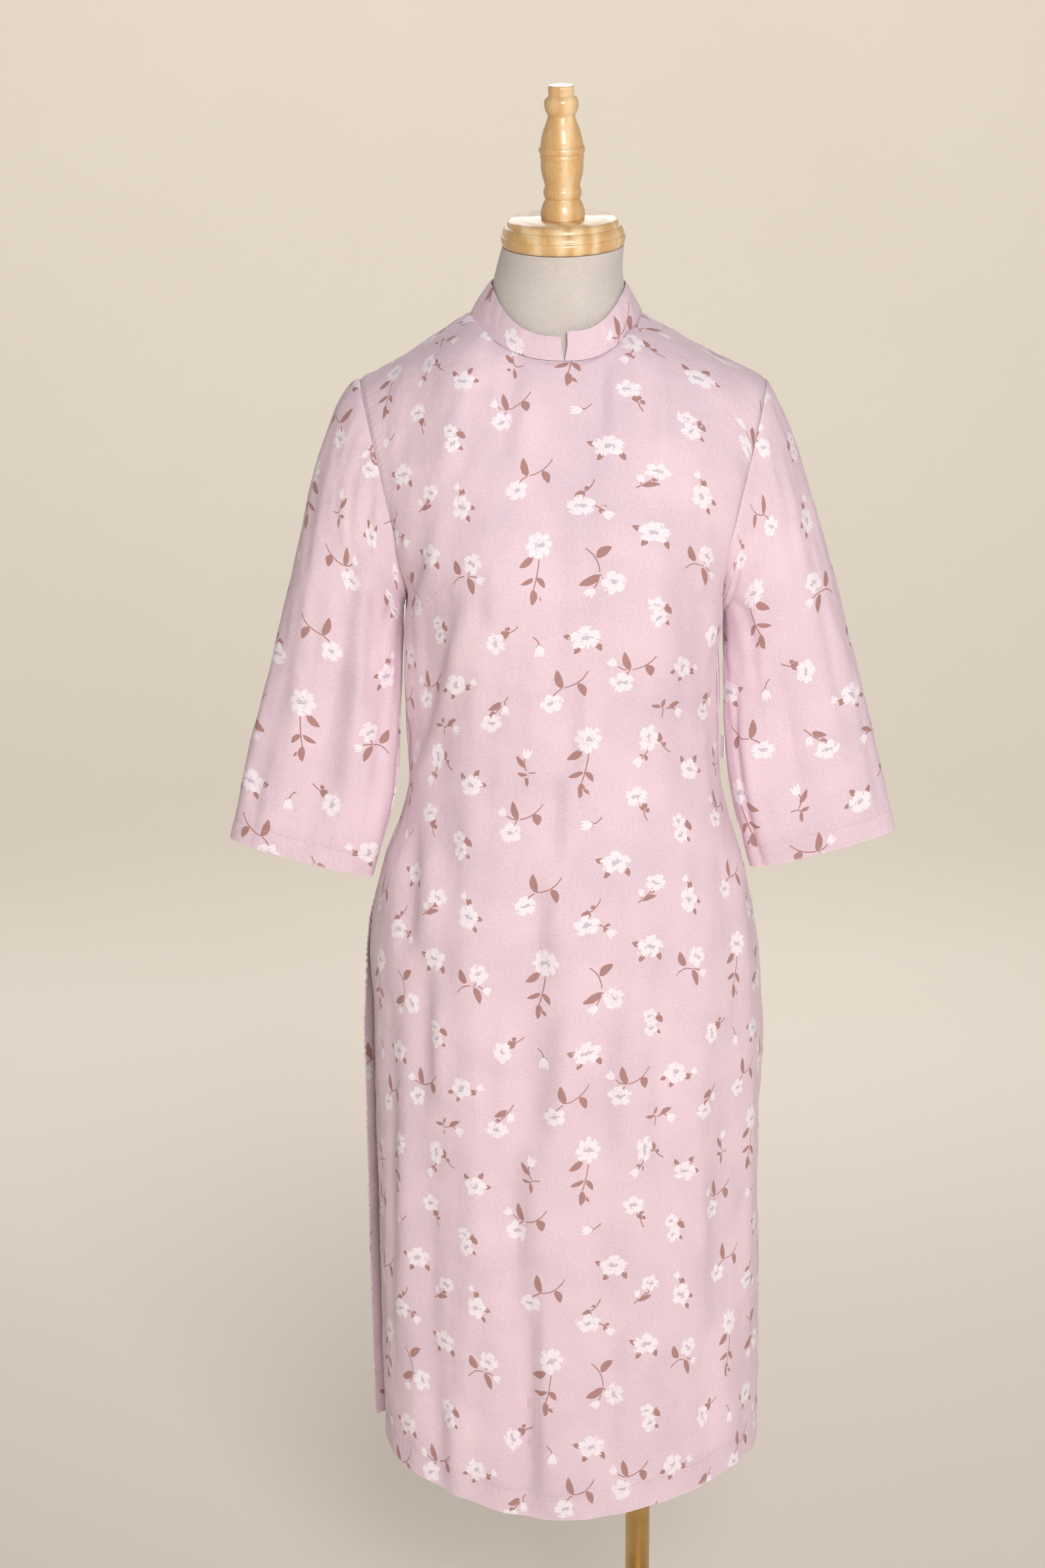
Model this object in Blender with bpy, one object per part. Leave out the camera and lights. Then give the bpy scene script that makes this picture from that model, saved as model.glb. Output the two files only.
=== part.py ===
"""An ao dai tunic resting on a limbless dress form.

Metres, +Z up. The front faces -Y and the wearer's left is +X. The origin is on the floor,
under the middle of the stand's base, where its pole stands; the form's own middle line is
FORM_X from it. Every cloth piece is a thin wall whose outer points come from the same few
functions: a bodice patch from the shoulders to the underarm, rings from there to the hem,
sleeve rings round the armhole, and a collar band round the neckline.
"""

import math
from collections import namedtuple

import bmesh
import bpy
import numpy as np
from mathutils import Matrix, Vector

# ------------------------------------------------------------------ driving sizes
FORM_X = -0.080  # the form's middle line, from the pole
WALL = 0.0014  # cloth
SEAM = 0.0003  # between two pieces that are sewn together
CLEAR = 0.0011  # between the form and the cloth that rests on it

UNDERARM = 1.158
SLIT_TOP = 0.866
HEM_MIDDLE = 0.236
HEM_RISE = 0.050  # how much higher the slit corners are cut than the middle
BACK_HEM_RISE = 0.058

NECK_HALF = 0.083  # neckline, from the middle line to the neck point
NECK_POINT = 1.422
NECK_POINT_Y = 0.012
NECK_FRONT = -0.068
NECK_FRONT_DROP = 0.041
NECK_BACK = 0.068
NECK_BACK_RISE = 0.018
NECK_SHIFT = 0.0065  # how far the neck points sit towards the wearer's right
SHOULDER_HALF = 0.195
SHOULDER_TIP = 1.360
SHOULDER_SAG = 0.003
ARMHOLE_NARROW = 0.150  # half-width at the underarm
ARMHOLE_FRONT = 0.057
ARMHOLE_BACK = 0.057
BLADES = 0.010  # fullness over the shoulder blades
BUST = 0.014
BUST_X = 0.082
BUST_Z = 1.168
BUST_WIDTH = 0.046
BUST_HEIGHT = 0.062

Ring = namedtuple("Ring", "z right left front back side square")
# Half-widths to the wearer's left (right hand of the front view) and right, the Y of the
# middle front, middle back and side line, and how square the ring is (2 is an ellipse).
FRONT_RINGS = (
    Ring(1.158, 0.1500, 0.1500, -0.116, 0.092, 0.000, 2.35),
    Ring(1.110, 0.1510, 0.1515, -0.114, 0.088, 0.000, 2.30),
    Ring(1.060, 0.1530, 0.1530, -0.110, 0.085, 0.000, 2.20),
    Ring(1.010, 0.1540, 0.1515, -0.106, 0.083, 0.001, 2.15),
    Ring(0.970, 0.1560, 0.1505, -0.104, 0.084, 0.002, 2.15),
    Ring(0.930, 0.1665, 0.1605, -0.104, 0.092, 0.004, 2.20),
    Ring(0.890, 0.1790, 0.1755, -0.105, 0.103, 0.007, 2.25),
    Ring(0.850, 0.1885, 0.1860, -0.106, 0.110, 0.010, 2.30),
    Ring(0.800, 0.1965, 0.1905, -0.105, 0.113, 0.013, 2.40),
    Ring(0.740, 0.2005, 0.1880, -0.104, 0.113, 0.015, 2.45),
    Ring(0.600, 0.1990, 0.1846, -0.102, 0.111, 0.017, 2.50),
    Ring(0.450, 0.2005, 0.1832, -0.100, 0.107, 0.018, 2.60),
    Ring(0.230, 0.2025, 0.1782, -0.097, 0.102, 0.018, 2.70),
)
# The back panel hangs free of the front one below the slit, a little outside it on the
# wearer's right and inside it on the left.
BACK_APART = 0.014  # how far behind the front panel's edge the back panel's edge hangs
BACK_RIGHT_SHIFT = -0.003
BACK_FLARE = 0.0130  # how far its edge on the wearer's right turns outwards

TORSO_BOTTOM = 0.725
TorsoRing = namedtuple("TorsoRing", "z half front back side square")
TORSO_RINGS = (
    TorsoRing(1.110, 0.1400, -0.1060, 0.0800, 0.000, 2.25),
    TorsoRing(1.050, 0.1240, -0.0890, 0.0690, 0.000, 2.15),
    TorsoRing(0.995, 0.1150, -0.0790, 0.0640, 0.001, 2.10),
    TorsoRing(0.940, 0.1280, -0.0840, 0.0740, 0.003, 2.15),
    TorsoRing(0.880, 0.1580, -0.0930, 0.0930, 0.006, 2.20),
    TorsoRing(0.820, 0.1770, -0.0960, 0.1040, 0.010, 2.30),
    TorsoRing(0.770, 0.1800, -0.0940, 0.1030, 0.012, 2.35),
    TorsoRing(TORSO_BOTTOM, 0.1770, -0.0900, 0.0960, 0.013, 2.35),
)

# Sleeve rings below the armhole: where the ring's inner and outer edges hang, its
# half-depth from front to back, and its middle's Y.
Cuff = namedtuple("Cuff", "inner_x inner_z outer_x outer_z half_depth y")
SLEEVE_RINGS = (
    Cuff(0.1565, 1.134, 0.2665, 1.162, 0.0460, 0.003),
    Cuff(0.1580, 1.050, 0.2875, 1.080, 0.0400, 0.001),
    Cuff(0.1640, 0.965, 0.3075, 0.999, 0.0330, -0.004),
    Cuff(0.1855, 0.880, 0.3265, 0.918, 0.0260, -0.008),
)
SLEEVE_LIFT = {1: 0.005, -1: -0.004}  # the two sleeves hang a little unevenly
CAP_FULLNESS = {1: 0.008, -1: 0.017}

COLLAR_HEIGHT = 0.036
COLLAR_FRONT_HEIGHT = {1: 0.0275, -1: 0.0225}  # the two halves' at the notch
COLLAR_TOP_HALF = 0.0655
COLLAR_SHIFT = 0.0047  # how far its top edge sits towards the wearer's right
COLLAR_NOTCH = {1: 0.0046, -1: 0.0036}  # how far each half stands back at its top edge
COLLAR_TOP_FRONT = -0.0680
COLLAR_TOP_BACK = 0.0650
COLLAR_TOP_Y = 0.003
BACK_SLIT = 0.140  # the neck opening in the middle back seam
BACK_SLIT_GAP = 0.0024

NECK_TILT = math.radians(11.0)  # the neck, its cap and the finial lean forward
NECK_LEAN = math.radians(-1.1)  # and a little to the wearer's right
CAP_X = -0.0008
CAP_Y = -0.006
CAP_TOP = 1.512
NECK_TOP_RADIUS = 0.0578
NECK_ASIDE = 0.0040  # the neck's own bow to the wearer's right
# Shares of the way from the neckline to the neck's end, upwards and inwards.
NECK_STEPS = ((0.14, 0.43), (0.34, 0.69), (0.60, 0.86), (1.0, 1.0))
RIM_INSET = 0.0011  # how far the form's armhole rim stays in front of the back panel's edge
# The plate over each armhole: shares of its loop and how far each stands out.
ARMHOLE_PLATE = ((0.72, 0.003), (0.36, 0.005), (0.02, 0.0055))
# (radius, height along the tilted axis) from the bottom up
CAP_PROFILE = (
    (0.0545, -0.0253), (0.0572, -0.0246), (0.0588, -0.0215), (0.0594, -0.0175),
    (0.0589, -0.0148), (0.0580, -0.0139), (0.0574, -0.0110), (0.0559, -0.0080),
    (0.0544, -0.0063), (0.0534, -0.0059), (0.0528, -0.0036), (0.0514, -0.0013), (0.0492, 0.0),
)
FINIAL_PROFILE = (
    (0.0205, 0.0003), (0.0210, 0.0030), (0.0207, 0.0080), (0.0190, 0.0135),
    (0.0168, 0.0180), (0.0165, 0.0192), (0.0176, 0.0212), (0.0182, 0.0245),
    (0.0177, 0.0278), (0.0168, 0.0297), (0.0167, 0.0312), (0.0176, 0.0350),
    (0.0192, 0.0410), (0.0202, 0.0480), (0.0203, 0.0555), (0.0209, 0.0585),
    (0.0205, 0.0606), (0.0214, 0.0620), (0.0219, 0.0645), (0.0213, 0.0672),
    (0.0202, 0.0690), (0.0197, 0.0730), (0.0175, 0.0820), (0.0145, 0.0900),
    (0.0129, 0.0950), (0.0131, 0.0967), (0.0150, 0.1000), (0.0162, 0.1060),
    (0.0155, 0.1110), (0.0130, 0.1145), (0.0121, 0.1155), (0.0122, 0.1215), (0.0112, 0.1238),
)

BASE_RADIUS = 0.160
BASE_THICK = 0.010
POLE_RADIUS = 0.0125
BOARD_THICK = 0.012
SOCKET_RADIUS = 0.030
SOCKET_HEIGHT = 0.034
HUB_RADIUS = 0.026
HUB_HEIGHT = 0.030

# ------------------------------------------------------------------ folds
# A soft trough (depth > 0) or ridge (depth < 0) along a line from its first point to its
# second, both in the front view, as wide as its width, bowed sideways by its bow.
Fold = namedtuple("Fold", "x0 z0 x1 z1 width depth bow")
FRONT_FOLDS = (
    Fold(-0.128, 1.150, -0.122, 0.985, 0.020, 0.0060, -0.004),
    Fold(0.130, 1.150, 0.134, 1.020, 0.020, 0.0040, 0.004),
    Fold(-0.088, 1.040, -0.085, 0.400, 0.024, -0.0055, 0.000),
    Fold(-0.006, 0.940, -0.052, 0.600, 0.022, 0.0050, 0.000),
    Fold(-0.054, 0.680, -0.032, 0.200, 0.017, 0.0060, 0.004),
    Fold(0.002, 0.960, -0.004, 0.560, 0.020, -0.0045, 0.000),
    Fold(0.000, 0.660, -0.012, 0.200, 0.020, -0.0055, -0.006),
    Fold(0.037, 0.920, 0.040, 0.480, 0.017, 0.0040, 0.000),
    Fold(0.070, 1.000, 0.074, 0.440, 0.020, -0.0040, 0.000),
    Fold(0.094, 0.900, 0.102, 0.420, 0.015, 0.0045, 0.000),
    Fold(0.127, 0.940, 0.130, 0.360, 0.018, -0.0045, 0.000),
    Fold(0.152, 0.860, 0.160, 0.300, 0.012, 0.0030, 0.000),
    Fold(-0.152, 0.800, -0.154, 0.200, 0.016, -0.0045, 0.000),
)
BACK_FOLDS = (
    Fold(-0.112, 0.980, -0.120, 0.200, 0.024, 0.0070, 0.006),
    Fold(-0.058, 1.060, -0.062, 0.200, 0.022, -0.0060, 0.004),
    Fold(0.052, 1.020, 0.058, 0.200, 0.024, 0.0060, -0.006),
    Fold(0.118, 1.000, 0.126, 0.200, 0.022, -0.0060, 0.003),
    Fold(-0.110, 1.180, -0.098, 1.020, 0.022, 0.0050, 0.004),
    Fold(0.108, 1.190, 0.096, 1.020, 0.022, 0.0050, -0.004),
)
# Sleeve folds run along the sleeve at a turn round it: 0 is the outer edge, 90 the front.
SleeveFold = namedtuple("SleeveFold", "turn0 down0 turn1 down1 width depth")
SLEEVE_FOLDS = {
    1: (
        SleeveFold(128, 0.28, 134, 1.05, 16, -0.0050),
        SleeveFold(96, 0.10, 100, 0.80, 15, 0.0050),
        SleeveFold(52, 0.30, 60, 1.05, 18, -0.0030),
        SleeveFold(250, 0.20, 262, 1.05, 22, 0.0050),
    ),
    -1: (
        SleeveFold(112, 0.05, 118, 0.75, 15, -0.0050),
        SleeveFold(84, 0.10, 92, 1.05, 17, 0.0050),
        SleeveFold(140, 0.25, 146, 1.05, 16, -0.0030),
        SleeveFold(258, 0.20, 248, 1.05, 22, 0.0050),
    ),
}

# ------------------------------------------------------------------ mesh density
BODICE_ROWS = 12
SKIRT_ROWS = 19
NECK_COLUMNS = 7  # from the middle to the neck point
SHOULDER_COLUMNS = 6  # from the neck point to the armhole
NECK_SHARE = 0.44  # the neck point's place between them
SLEEVE_SIDES = 24
CAP_STEPS = (0.0, 0.10, 0.26, 0.48, 0.74)
SLEEVE_ROWS = 8
COLLAR_ROWS = 2

BUTTON_TURN = math.pi - 0.085
BUTTON_UP = 0.62
LOOP_RADIUS = 0.0021
LOOP_REACH = 0.0105
CORD_RADIUS = 0.0007

LABEL_Z = 1.004
LABEL_TALL = 0.022
LABEL_WIDTH = 0.0038
LABEL_THICK = 0.0010

CLOTH = ("blossom_cloth", (0.78, 0.60, 0.66, 1.0), 0.0, 0.85)
JERSEY = ("form_jersey", (0.72, 0.69, 0.65, 1.0), 0.0, 0.90)
WOOD = ("turned_wood", (0.72, 0.50, 0.27, 1.0), 0.0, 0.35)
BRASS = ("pole_brass", (0.78, 0.60, 0.30, 1.0), 1.0, 0.25)
BOARD = ("board_wood", (0.55, 0.42, 0.28, 1.0), 0.0, 0.70)
LABEL = ("label_satin", (0.90, 0.90, 0.89, 1.0), 0.0, 0.55)
BUTTON = ("button_shell", (0.86, 0.78, 0.78, 1.0), 0.0, 0.30)


# ------------------------------------------------------------------ curves and fields
Step = namedtuple("Step", "at value")


def smooth(t):
    t = np.clip(t, 0.0, 1.0)
    return t * t * (3 - 2 * t)


def mix(a, b, t):
    return a + (b - a) * t


def curve(rows, column, at):
    """The named column of a table as a smooth curve of the table's first column."""
    xs = np.array([row[0] for row in rows])
    ys = np.array([getattr(row, column) for row in rows])
    if xs[0] > xs[-1]:
        xs, ys = xs[::-1], ys[::-1]
    slopes = np.gradient(ys, xs)
    at = np.clip(at, xs[0], xs[-1])
    i = np.clip(np.searchsorted(xs, at) - 1, 0, len(xs) - 2)
    span = xs[i + 1] - xs[i]
    t = (at - xs[i]) / span
    near = (1 + 2 * t) * (1 - t) ** 2 * ys[i] + t * (1 - t) ** 2 * span * slopes[i]
    far = t * t * (3 - 2 * t) * ys[i + 1] - t * t * (1 - t) * span * slopes[i + 1]
    return near + far


def fold_field(folds, x, z):
    """How far the cloth is pushed in at a place of the front view by these folds."""
    push = 0.0
    for f in folds:
        run = math.hypot(f.x1 - f.x0, f.z1 - f.z0)
        along = ((x - f.x0) * (f.x1 - f.x0) + (z - f.z0) * (f.z1 - f.z0)) / run**2
        aside = ((x - f.x0) * (f.z0 - f.z1) + (z - f.z0) * (f.x1 - f.x0)) / run
        aside = aside - f.bow * 4 * along * (1 - along)
        ends = smooth(along / 0.4) * smooth((1.0 - along) / 0.25 + 0.15)
        push = push + f.depth * np.exp(-((aside / f.width) ** 2)) * ends
    return push * smooth((UNDERARM - z) / 0.06)


def unit(vectors):
    return vectors / np.linalg.norm(vectors, axis=-1, keepdims=True)


# ------------------------------------------------------------------ the tunic's surface
def columns(first, last):
    """Places across a panel from -1 to 1, with one on each neck point and one in the middle."""
    outer = np.linspace(NECK_SHARE, 1, SHOULDER_COLUMNS + 1)
    inner = np.linspace(0, NECK_SHARE, NECK_COLUMNS + 1)
    half = np.concatenate([inner, outer[1:]])
    whole = np.concatenate([-half[::-1], half[1:]])
    return whole[(whole >= first) & (whole <= last)]


def neckline(share, front):
    """Height and Y of the neckline at a share of its half-width."""
    share = np.clip(np.abs(share), 0, 1)
    if front:
        height = NECK_POINT - NECK_FRONT_DROP * (1 - share**2.6)
        return height, mix(NECK_POINT_Y, NECK_FRONT, np.sqrt(1 - share**2))
    height = NECK_POINT + NECK_BACK_RISE * (1 - share**2)
    return height, mix(NECK_POINT_Y, NECK_BACK, np.sqrt(1 - share**2))


def aside(share, amount):
    """How far a neck edge's place at a share of its half-width moves to the wearer's right."""
    return -amount * np.sin(np.pi / 2 * np.clip(np.abs(share), 0, 1)) ** 2


def shoulder_line(x):
    """Height of the shoulder ridge at a distance from the middle line."""
    t = (np.abs(x) - NECK_HALF) / (SHOULDER_HALF - NECK_HALF)
    return mix(NECK_POINT, SHOULDER_TIP, t) - SHOULDER_SAG * np.sin(np.pi * np.clip(t, 0, 1))


def armhole_half(z):
    t = np.clip((z - UNDERARM) / (SHOULDER_TIP - UNDERARM), 0, 1)
    return ARMHOLE_NARROW + (SHOULDER_HALF - ARMHOLE_NARROW) * t**1.15


def squircle(share, square):
    """How far in front of the side line a ring is, from 0 to 1, at a share of its half-width."""
    return np.clip(1 - np.abs(share) ** square, 0, 1) ** (1 / square)


def even_share(j, square):
    """Shares of the half-width at even turns of a ring, for j from -1 to 1."""
    turn = np.abs(j) * np.pi / 2
    s, c = np.sin(turn), np.cos(turn)
    return np.sign(j) * s / (s**square + np.abs(c) ** square) ** (1 / square)


def top_share(j):
    """Shares of the shoulder's half-width along the panel's top edge."""
    neck = NECK_HALF / SHOULDER_HALF
    quarter = np.pi / 2
    inside = neck * np.sin(np.clip(np.abs(j) / NECK_SHARE, 0, 1) * quarter)
    past = np.clip((np.abs(j) - NECK_SHARE) / (1 - NECK_SHARE), 0, 1)
    outside = neck + (1 - neck) * np.sin(past * quarter)
    return np.sign(j) * np.where(np.abs(j) <= NECK_SHARE, inside, outside)


def bust(x, z):
    across = (np.abs(x) - BUST_X) / BUST_WIDTH
    up = (z - BUST_Z) / BUST_HEIGHT
    return BUST * np.exp(-(across**2) - up**2)


def bodice(front, j, phi):
    """A point of the bodice. j runs across it from -1 to 1, and phi down it, from 0 on the
    shoulder to pi at the underarm."""
    ring = FRONT_RINGS[0]
    down = (1 - np.cos(phi)) / 2
    edge_z = mix(SHOULDER_TIP, UNDERARM, down)
    share = mix(top_share(j), even_share(j, ring.square), smooth(down * 1.4))
    ahead = squircle(share, ring.square)
    top_x = SHOULDER_HALF * top_share(j)
    along_shoulder = (SHOULDER_HALF - np.abs(top_x)) / (SHOULDER_HALF - NECK_HALF)
    moved = aside(top_x / NECK_HALF, NECK_SHIFT) * smooth(along_shoulder) * (1 - smooth(down * 2.5))
    x = armhole_half(edge_z) * share + moved

    across_neck = np.clip(np.abs(top_x) / NECK_HALF, 0, 1)
    neck_z, neck_y = neckline(across_neck, front)
    low_y = mix(ring.side, ring.front if front else ring.back, ahead)
    z = mix(np.where(across_neck < 1, neck_z, shoulder_line(top_x)), UNDERARM, down)

    roll = 2 * np.sqrt(down) - down
    slope = 1 - (1 - down) ** 1.7
    y = mix(neck_y, low_y, mix(slope, roll, across_neck**2))
    if front:
        y = y - ARMHOLE_FRONT * (1 - ahead) ** 2 * np.sin(phi)
        y = y - bust(x, z) * smooth(down * 2)
    else:
        y = y + ARMHOLE_BACK * (1 - ahead) ** 2 * np.sin(phi)
        y = y + BLADES * ahead * np.sin(phi) ** 2
    return np.stack([x, y, z], -1)


def skirt(front, j, z):
    """A point of the rings below the underarm."""
    square = curve(FRONT_RINGS, "square", z)
    share = even_share(j, square)
    ahead = squircle(share, square)
    right, left = curve(FRONT_RINGS, "right", z), curve(FRONT_RINGS, "left", z)
    side = curve(FRONT_RINGS, "side", z)
    free = smooth((SLIT_TOP - z) / 0.10)
    if front:
        half = np.where(j > 0, right, left)
        y = mix(side, curve(FRONT_RINGS, "front", z), ahead)
        y = y - bust(half * share, z)
    else:
        flare = BACK_FLARE * smooth((SLIT_TOP - z) / 0.20) * np.clip(1 - ahead / 0.25, 0, 1) ** 2
        half = np.where(j > 0, right + BACK_RIGHT_SHIFT * free, left + flare)
        y = mix(side + BACK_APART * free, curve(FRONT_RINGS, "back", z), ahead)
    return np.stack([half * share, y, z + 0 * j], -1)


def hem_height(front, j):
    share = np.abs(even_share(j, FRONT_RINGS[-1].square))
    return HEM_MIDDLE + (HEM_RISE if front else BACK_HEM_RISE) * share**1.8


def panel(front, across, bodice_rows, skirt_rows):
    """Outer points of a whole panel, shoulder to hem, as rows of columns."""
    rows = [bodice(front, across, phi) for phi in np.linspace(0, np.pi, bodice_rows + 1)]
    for down in np.linspace(0, 1, skirt_rows + 1)[1:]:
        rows.append(skirt(front, across, mix(UNDERARM, hem_height(front, across), down)))
    return np.array(rows)


def armhole(side, psi):
    """The armhole's loop: psi 0 is the shoulder tip, a quarter turn the front of it and a
    half turn the underarm."""
    ahead = np.sin(psi) >= -1e-9
    phi = np.where(ahead, psi, 2 * np.pi - psi)
    j = np.full_like(psi, float(side))
    return np.where(ahead[:, None], bodice(True, j, phi), bodice(False, j, phi))


def armhole_normal(side, psi):
    """Which way the cloth faces where bodice and sleeve meet, the same for both."""
    return unit(np.stack([0.5 * side + 0 * psi, -np.sin(psi), np.cos(psi)], -1))


def sleeve_ring(side, psi, down):
    """A ring of the sleeve below the armhole, down from 0 at the biceps to 1 at the hem."""
    at = np.linspace(0, 1, len(SLEEVE_RINGS))
    found = {}
    for name in Cuff._fields:
        rows = [Step(a, getattr(ring, name)) for a, ring in zip(at, SLEEVE_RINGS)]
        found[name] = float(curve(rows, "value", down))
    lift = SLEEVE_LIFT[side] * down
    inner = np.array([side * found["inner_x"], found["y"], found["inner_z"] + lift])
    outer = np.array([side * found["outer_x"], found["y"], found["outer_z"] + lift])
    points = (inner + outer) / 2 + np.cos(psi)[:, None] * (outer - inner) / 2
    points[:, 1] -= np.sin(psi) * found["half_depth"]
    return points


def sleeve(side, psi, cap_steps, rows):
    """Outer points of a sleeve: rings from the armhole to the hem."""
    top, biceps = armhole(side, psi), sleeve_ring(side, psi, 0.0)
    out = np.array([0.76 * side, 0, 0.65])
    rings = []
    for step in cap_steps:
        over = CAP_FULLNESS[side] * math.sin(math.pi * step**0.6) * np.cos(psi / 2) ** 2
        rings.append(mix(top, biceps, step) + over[:, None] * out)
    for down in np.linspace(0, 1, rows + 1):
        rings.append(sleeve_ring(side, psi, down))
    rings[0] = rings[0] + SEAM * np.array([side, 0, 0])
    return np.array(rings)


def collar_point(turn, up, side):
    """A point of the collar: turn 0 at the middle front and pi at the middle back, up 0 to 1."""
    share, ahead = np.abs(np.sin(turn)), np.cos(turn)
    front_z, front_y = neckline(share, True)
    back_z, back_y = neckline(share, False)
    z0, y0 = np.where(ahead > 0, front_z, back_z), np.where(ahead > 0, front_y, back_y)
    x0, x1 = NECK_HALF * share, COLLAR_TOP_HALF * share
    reach = np.where(ahead > 0, COLLAR_TOP_FRONT, COLLAR_TOP_BACK)
    y1 = mix(COLLAR_TOP_Y, reach, np.abs(ahead))
    height = mix(COLLAR_HEIGHT, COLLAR_FRONT_HEIGHT[side], smooth(ahead))
    lean = np.hypot(x1 - x0, y1 - y0)
    z1 = z0 + np.sqrt(np.clip(height**2 - lean**2, 1e-6, None))
    x = side * mix(x0, x1, up) + aside(share, mix(NECK_SHIFT, COLLAR_SHIFT, up))
    return np.stack([x, mix(y0, y1, up), mix(z0 + SEAM, z1, up)], -1)


# ------------------------------------------------------------------ making solids
def add_object(name, mesh, material):
    obj = bpy.data.objects.new(name, mesh)
    bpy.context.scene.collection.objects.link(obj)
    label, colour, metallic, roughness = material
    found = bpy.data.materials.get(label)
    if found is None:
        found = bpy.data.materials.new(label)
        found.use_nodes = True
        shader = found.node_tree.nodes["Principled BSDF"]
        shader.inputs["Base Color"].default_value = colour
        shader.inputs["Metallic"].default_value = metallic
        shader.inputs["Roughness"].default_value = roughness
    mesh.materials.append(found)
    return obj


def face_out(mesh):
    bm = bmesh.new()
    bm.from_mesh(mesh)
    bmesh.ops.recalc_face_normals(bm, faces=bm.faces)
    if bm.calc_volume(signed=True) < 0:
        bmesh.ops.reverse_faces(bm, faces=bm.faces)
    bm.to_mesh(mesh)
    bm.free()
    mesh.shade_smooth()


def facing_of(grid, closed=False):
    """Unit normals of a grid of points, outwards where rows run down and columns run towards
    +X on the front."""
    across = np.gradient(grid, axis=1)
    if closed:
        across = np.roll(grid, -1, 1) - np.roll(grid, 1, 1)
    return unit(np.cross(np.gradient(grid, axis=0), across))


def pull_in(grid, top=False):
    """Shortens a panel by half a seam along its sides, and along its top edge if asked."""
    grid = grid.copy()
    if top:
        grid[0] += SEAM / 2 * unit(grid[1] - grid[0])
    for edge, inner in ((0, 1), (-1, -2)):
        grid[:, edge] += SEAM / 2 * unit(grid[:, inner] - grid[:, edge])
    return grid


def quads_of(rows, columns_, closed, start=0):
    """Corner indices of a grid's faces, split the same way on both sides of the cloth and on
    the form beneath, so that they stay parallel."""
    last = columns_ if closed else columns_ - 1
    faces = []
    for r in range(rows - 1):
        for c in range(last):
            d = (c + 1) % columns_
            a, b = start + r * columns_ + c, start + r * columns_ + d
            faces += [(a, a + columns_, b + columns_), (a, b + columns_, b)]
    return faces


def cloth(name, grid, normals, closed=False, material=CLOTH):
    """A wall of cloth: the grid is its outer side, and the inner one lies a wall behind."""
    rows, across = grid.shape[:2]
    outer = (grid + np.array([FORM_X, 0, 0])).reshape(-1, 3)
    inner = outer - WALL * normals.reshape(-1, 3)
    count = len(outer)
    faces = quads_of(rows, across, closed)
    faces += [face[::-1] for face in quads_of(rows, across, closed, count)]
    rim = [[(r, c) for c in range(across)] for r in (0, rows - 1)]
    if closed:
        rim = [line + line[:1] for line in rim]
    else:
        rim += [[(r, c) for r in range(rows)] for c in (0, across - 1)]
    for line in rim:
        for (r0, c0), (r1, c1) in zip(line, line[1:]):
            a, b = r0 * across + c0, r1 * across + c1
            faces.append((a, b, count + b, count + a))
    mesh = bpy.data.meshes.new(name)
    mesh.from_pydata(np.concatenate([outer, inner]).tolist(), [], faces)
    face_out(mesh)
    return add_object(name, mesh, material)


def turned(name, profile, sides, material, place=None):
    """A round solid about Z. Its profile is (radius, height) from the bottom up, and one that
    ends where it starts makes a ring."""
    ringlike = profile[0] == profile[-1]
    turns = np.linspace(0, 2 * np.pi, sides, endpoint=False)
    points = []
    for radius, height in profile[: -1 if ringlike else None]:
        points += [(radius * math.cos(t), radius * math.sin(t), height) for t in turns]
    rows = len(points) // sides
    faces = quads_of(rows, sides, True)
    if ringlike:
        last = (rows - 1) * sides
        faces += [(last + c, c, (c + 1) % sides, last + (c + 1) % sides) for c in range(sides)]
    else:
        faces += [tuple(range(sides)), tuple(range((rows - 1) * sides, rows * sides))]
    mesh = bpy.data.meshes.new(name)
    mesh.from_pydata(points, [], faces)
    mesh.transform(place or Matrix.Identity(4))
    face_out(mesh)
    mesh.set_sharp_from_angle(angle=math.radians(40))
    return add_object(name, mesh, material)


# ------------------------------------------------------------------ the cloth pieces
def seam_normals(across, grid, normals, front, sides):
    """Turns the normals along a panel's seams to the ones that the next piece uses too."""
    x, y = grid[0, :, 0], grid[0, :, 1]
    slope = (NECK_POINT - SHOULDER_TIP) / (SHOULDER_HALF - NECK_HALF)
    ridge = np.stack([slope * np.sign(x), 0 * x, 1 + 0 * x], -1)
    toward = np.stack([x + NECK_SHIFT, y - NECK_POINT_Y, 0.045 + 0 * x], -1)
    normals[0] = unit(np.where((np.abs(across) < NECK_SHARE - 1e-6)[:, None], toward, ridge))
    phis = np.linspace(0, np.pi, BODICE_ROWS + 1)
    psi = phis if front else 2 * np.pi - phis
    for column, side in sides:
        normals[: BODICE_ROWS + 1, column] = armhole_normal(side, psi)
        normals[BODICE_ROWS + 1 :, column, 1] = 0
    return unit(normals)


def front_panel():
    across = columns(-1, 1)
    grid = panel(True, across, BODICE_ROWS, SKIRT_ROWS)
    grid = grid - fold_field(FRONT_FOLDS, grid[..., 0], grid[..., 2])[..., None] * facing_of(grid)
    normals = seam_normals(across, grid, facing_of(grid), True, ((0, -1), (-1, 1)))
    return cloth("front_panel", pull_in(grid, top=True), normals)


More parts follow.
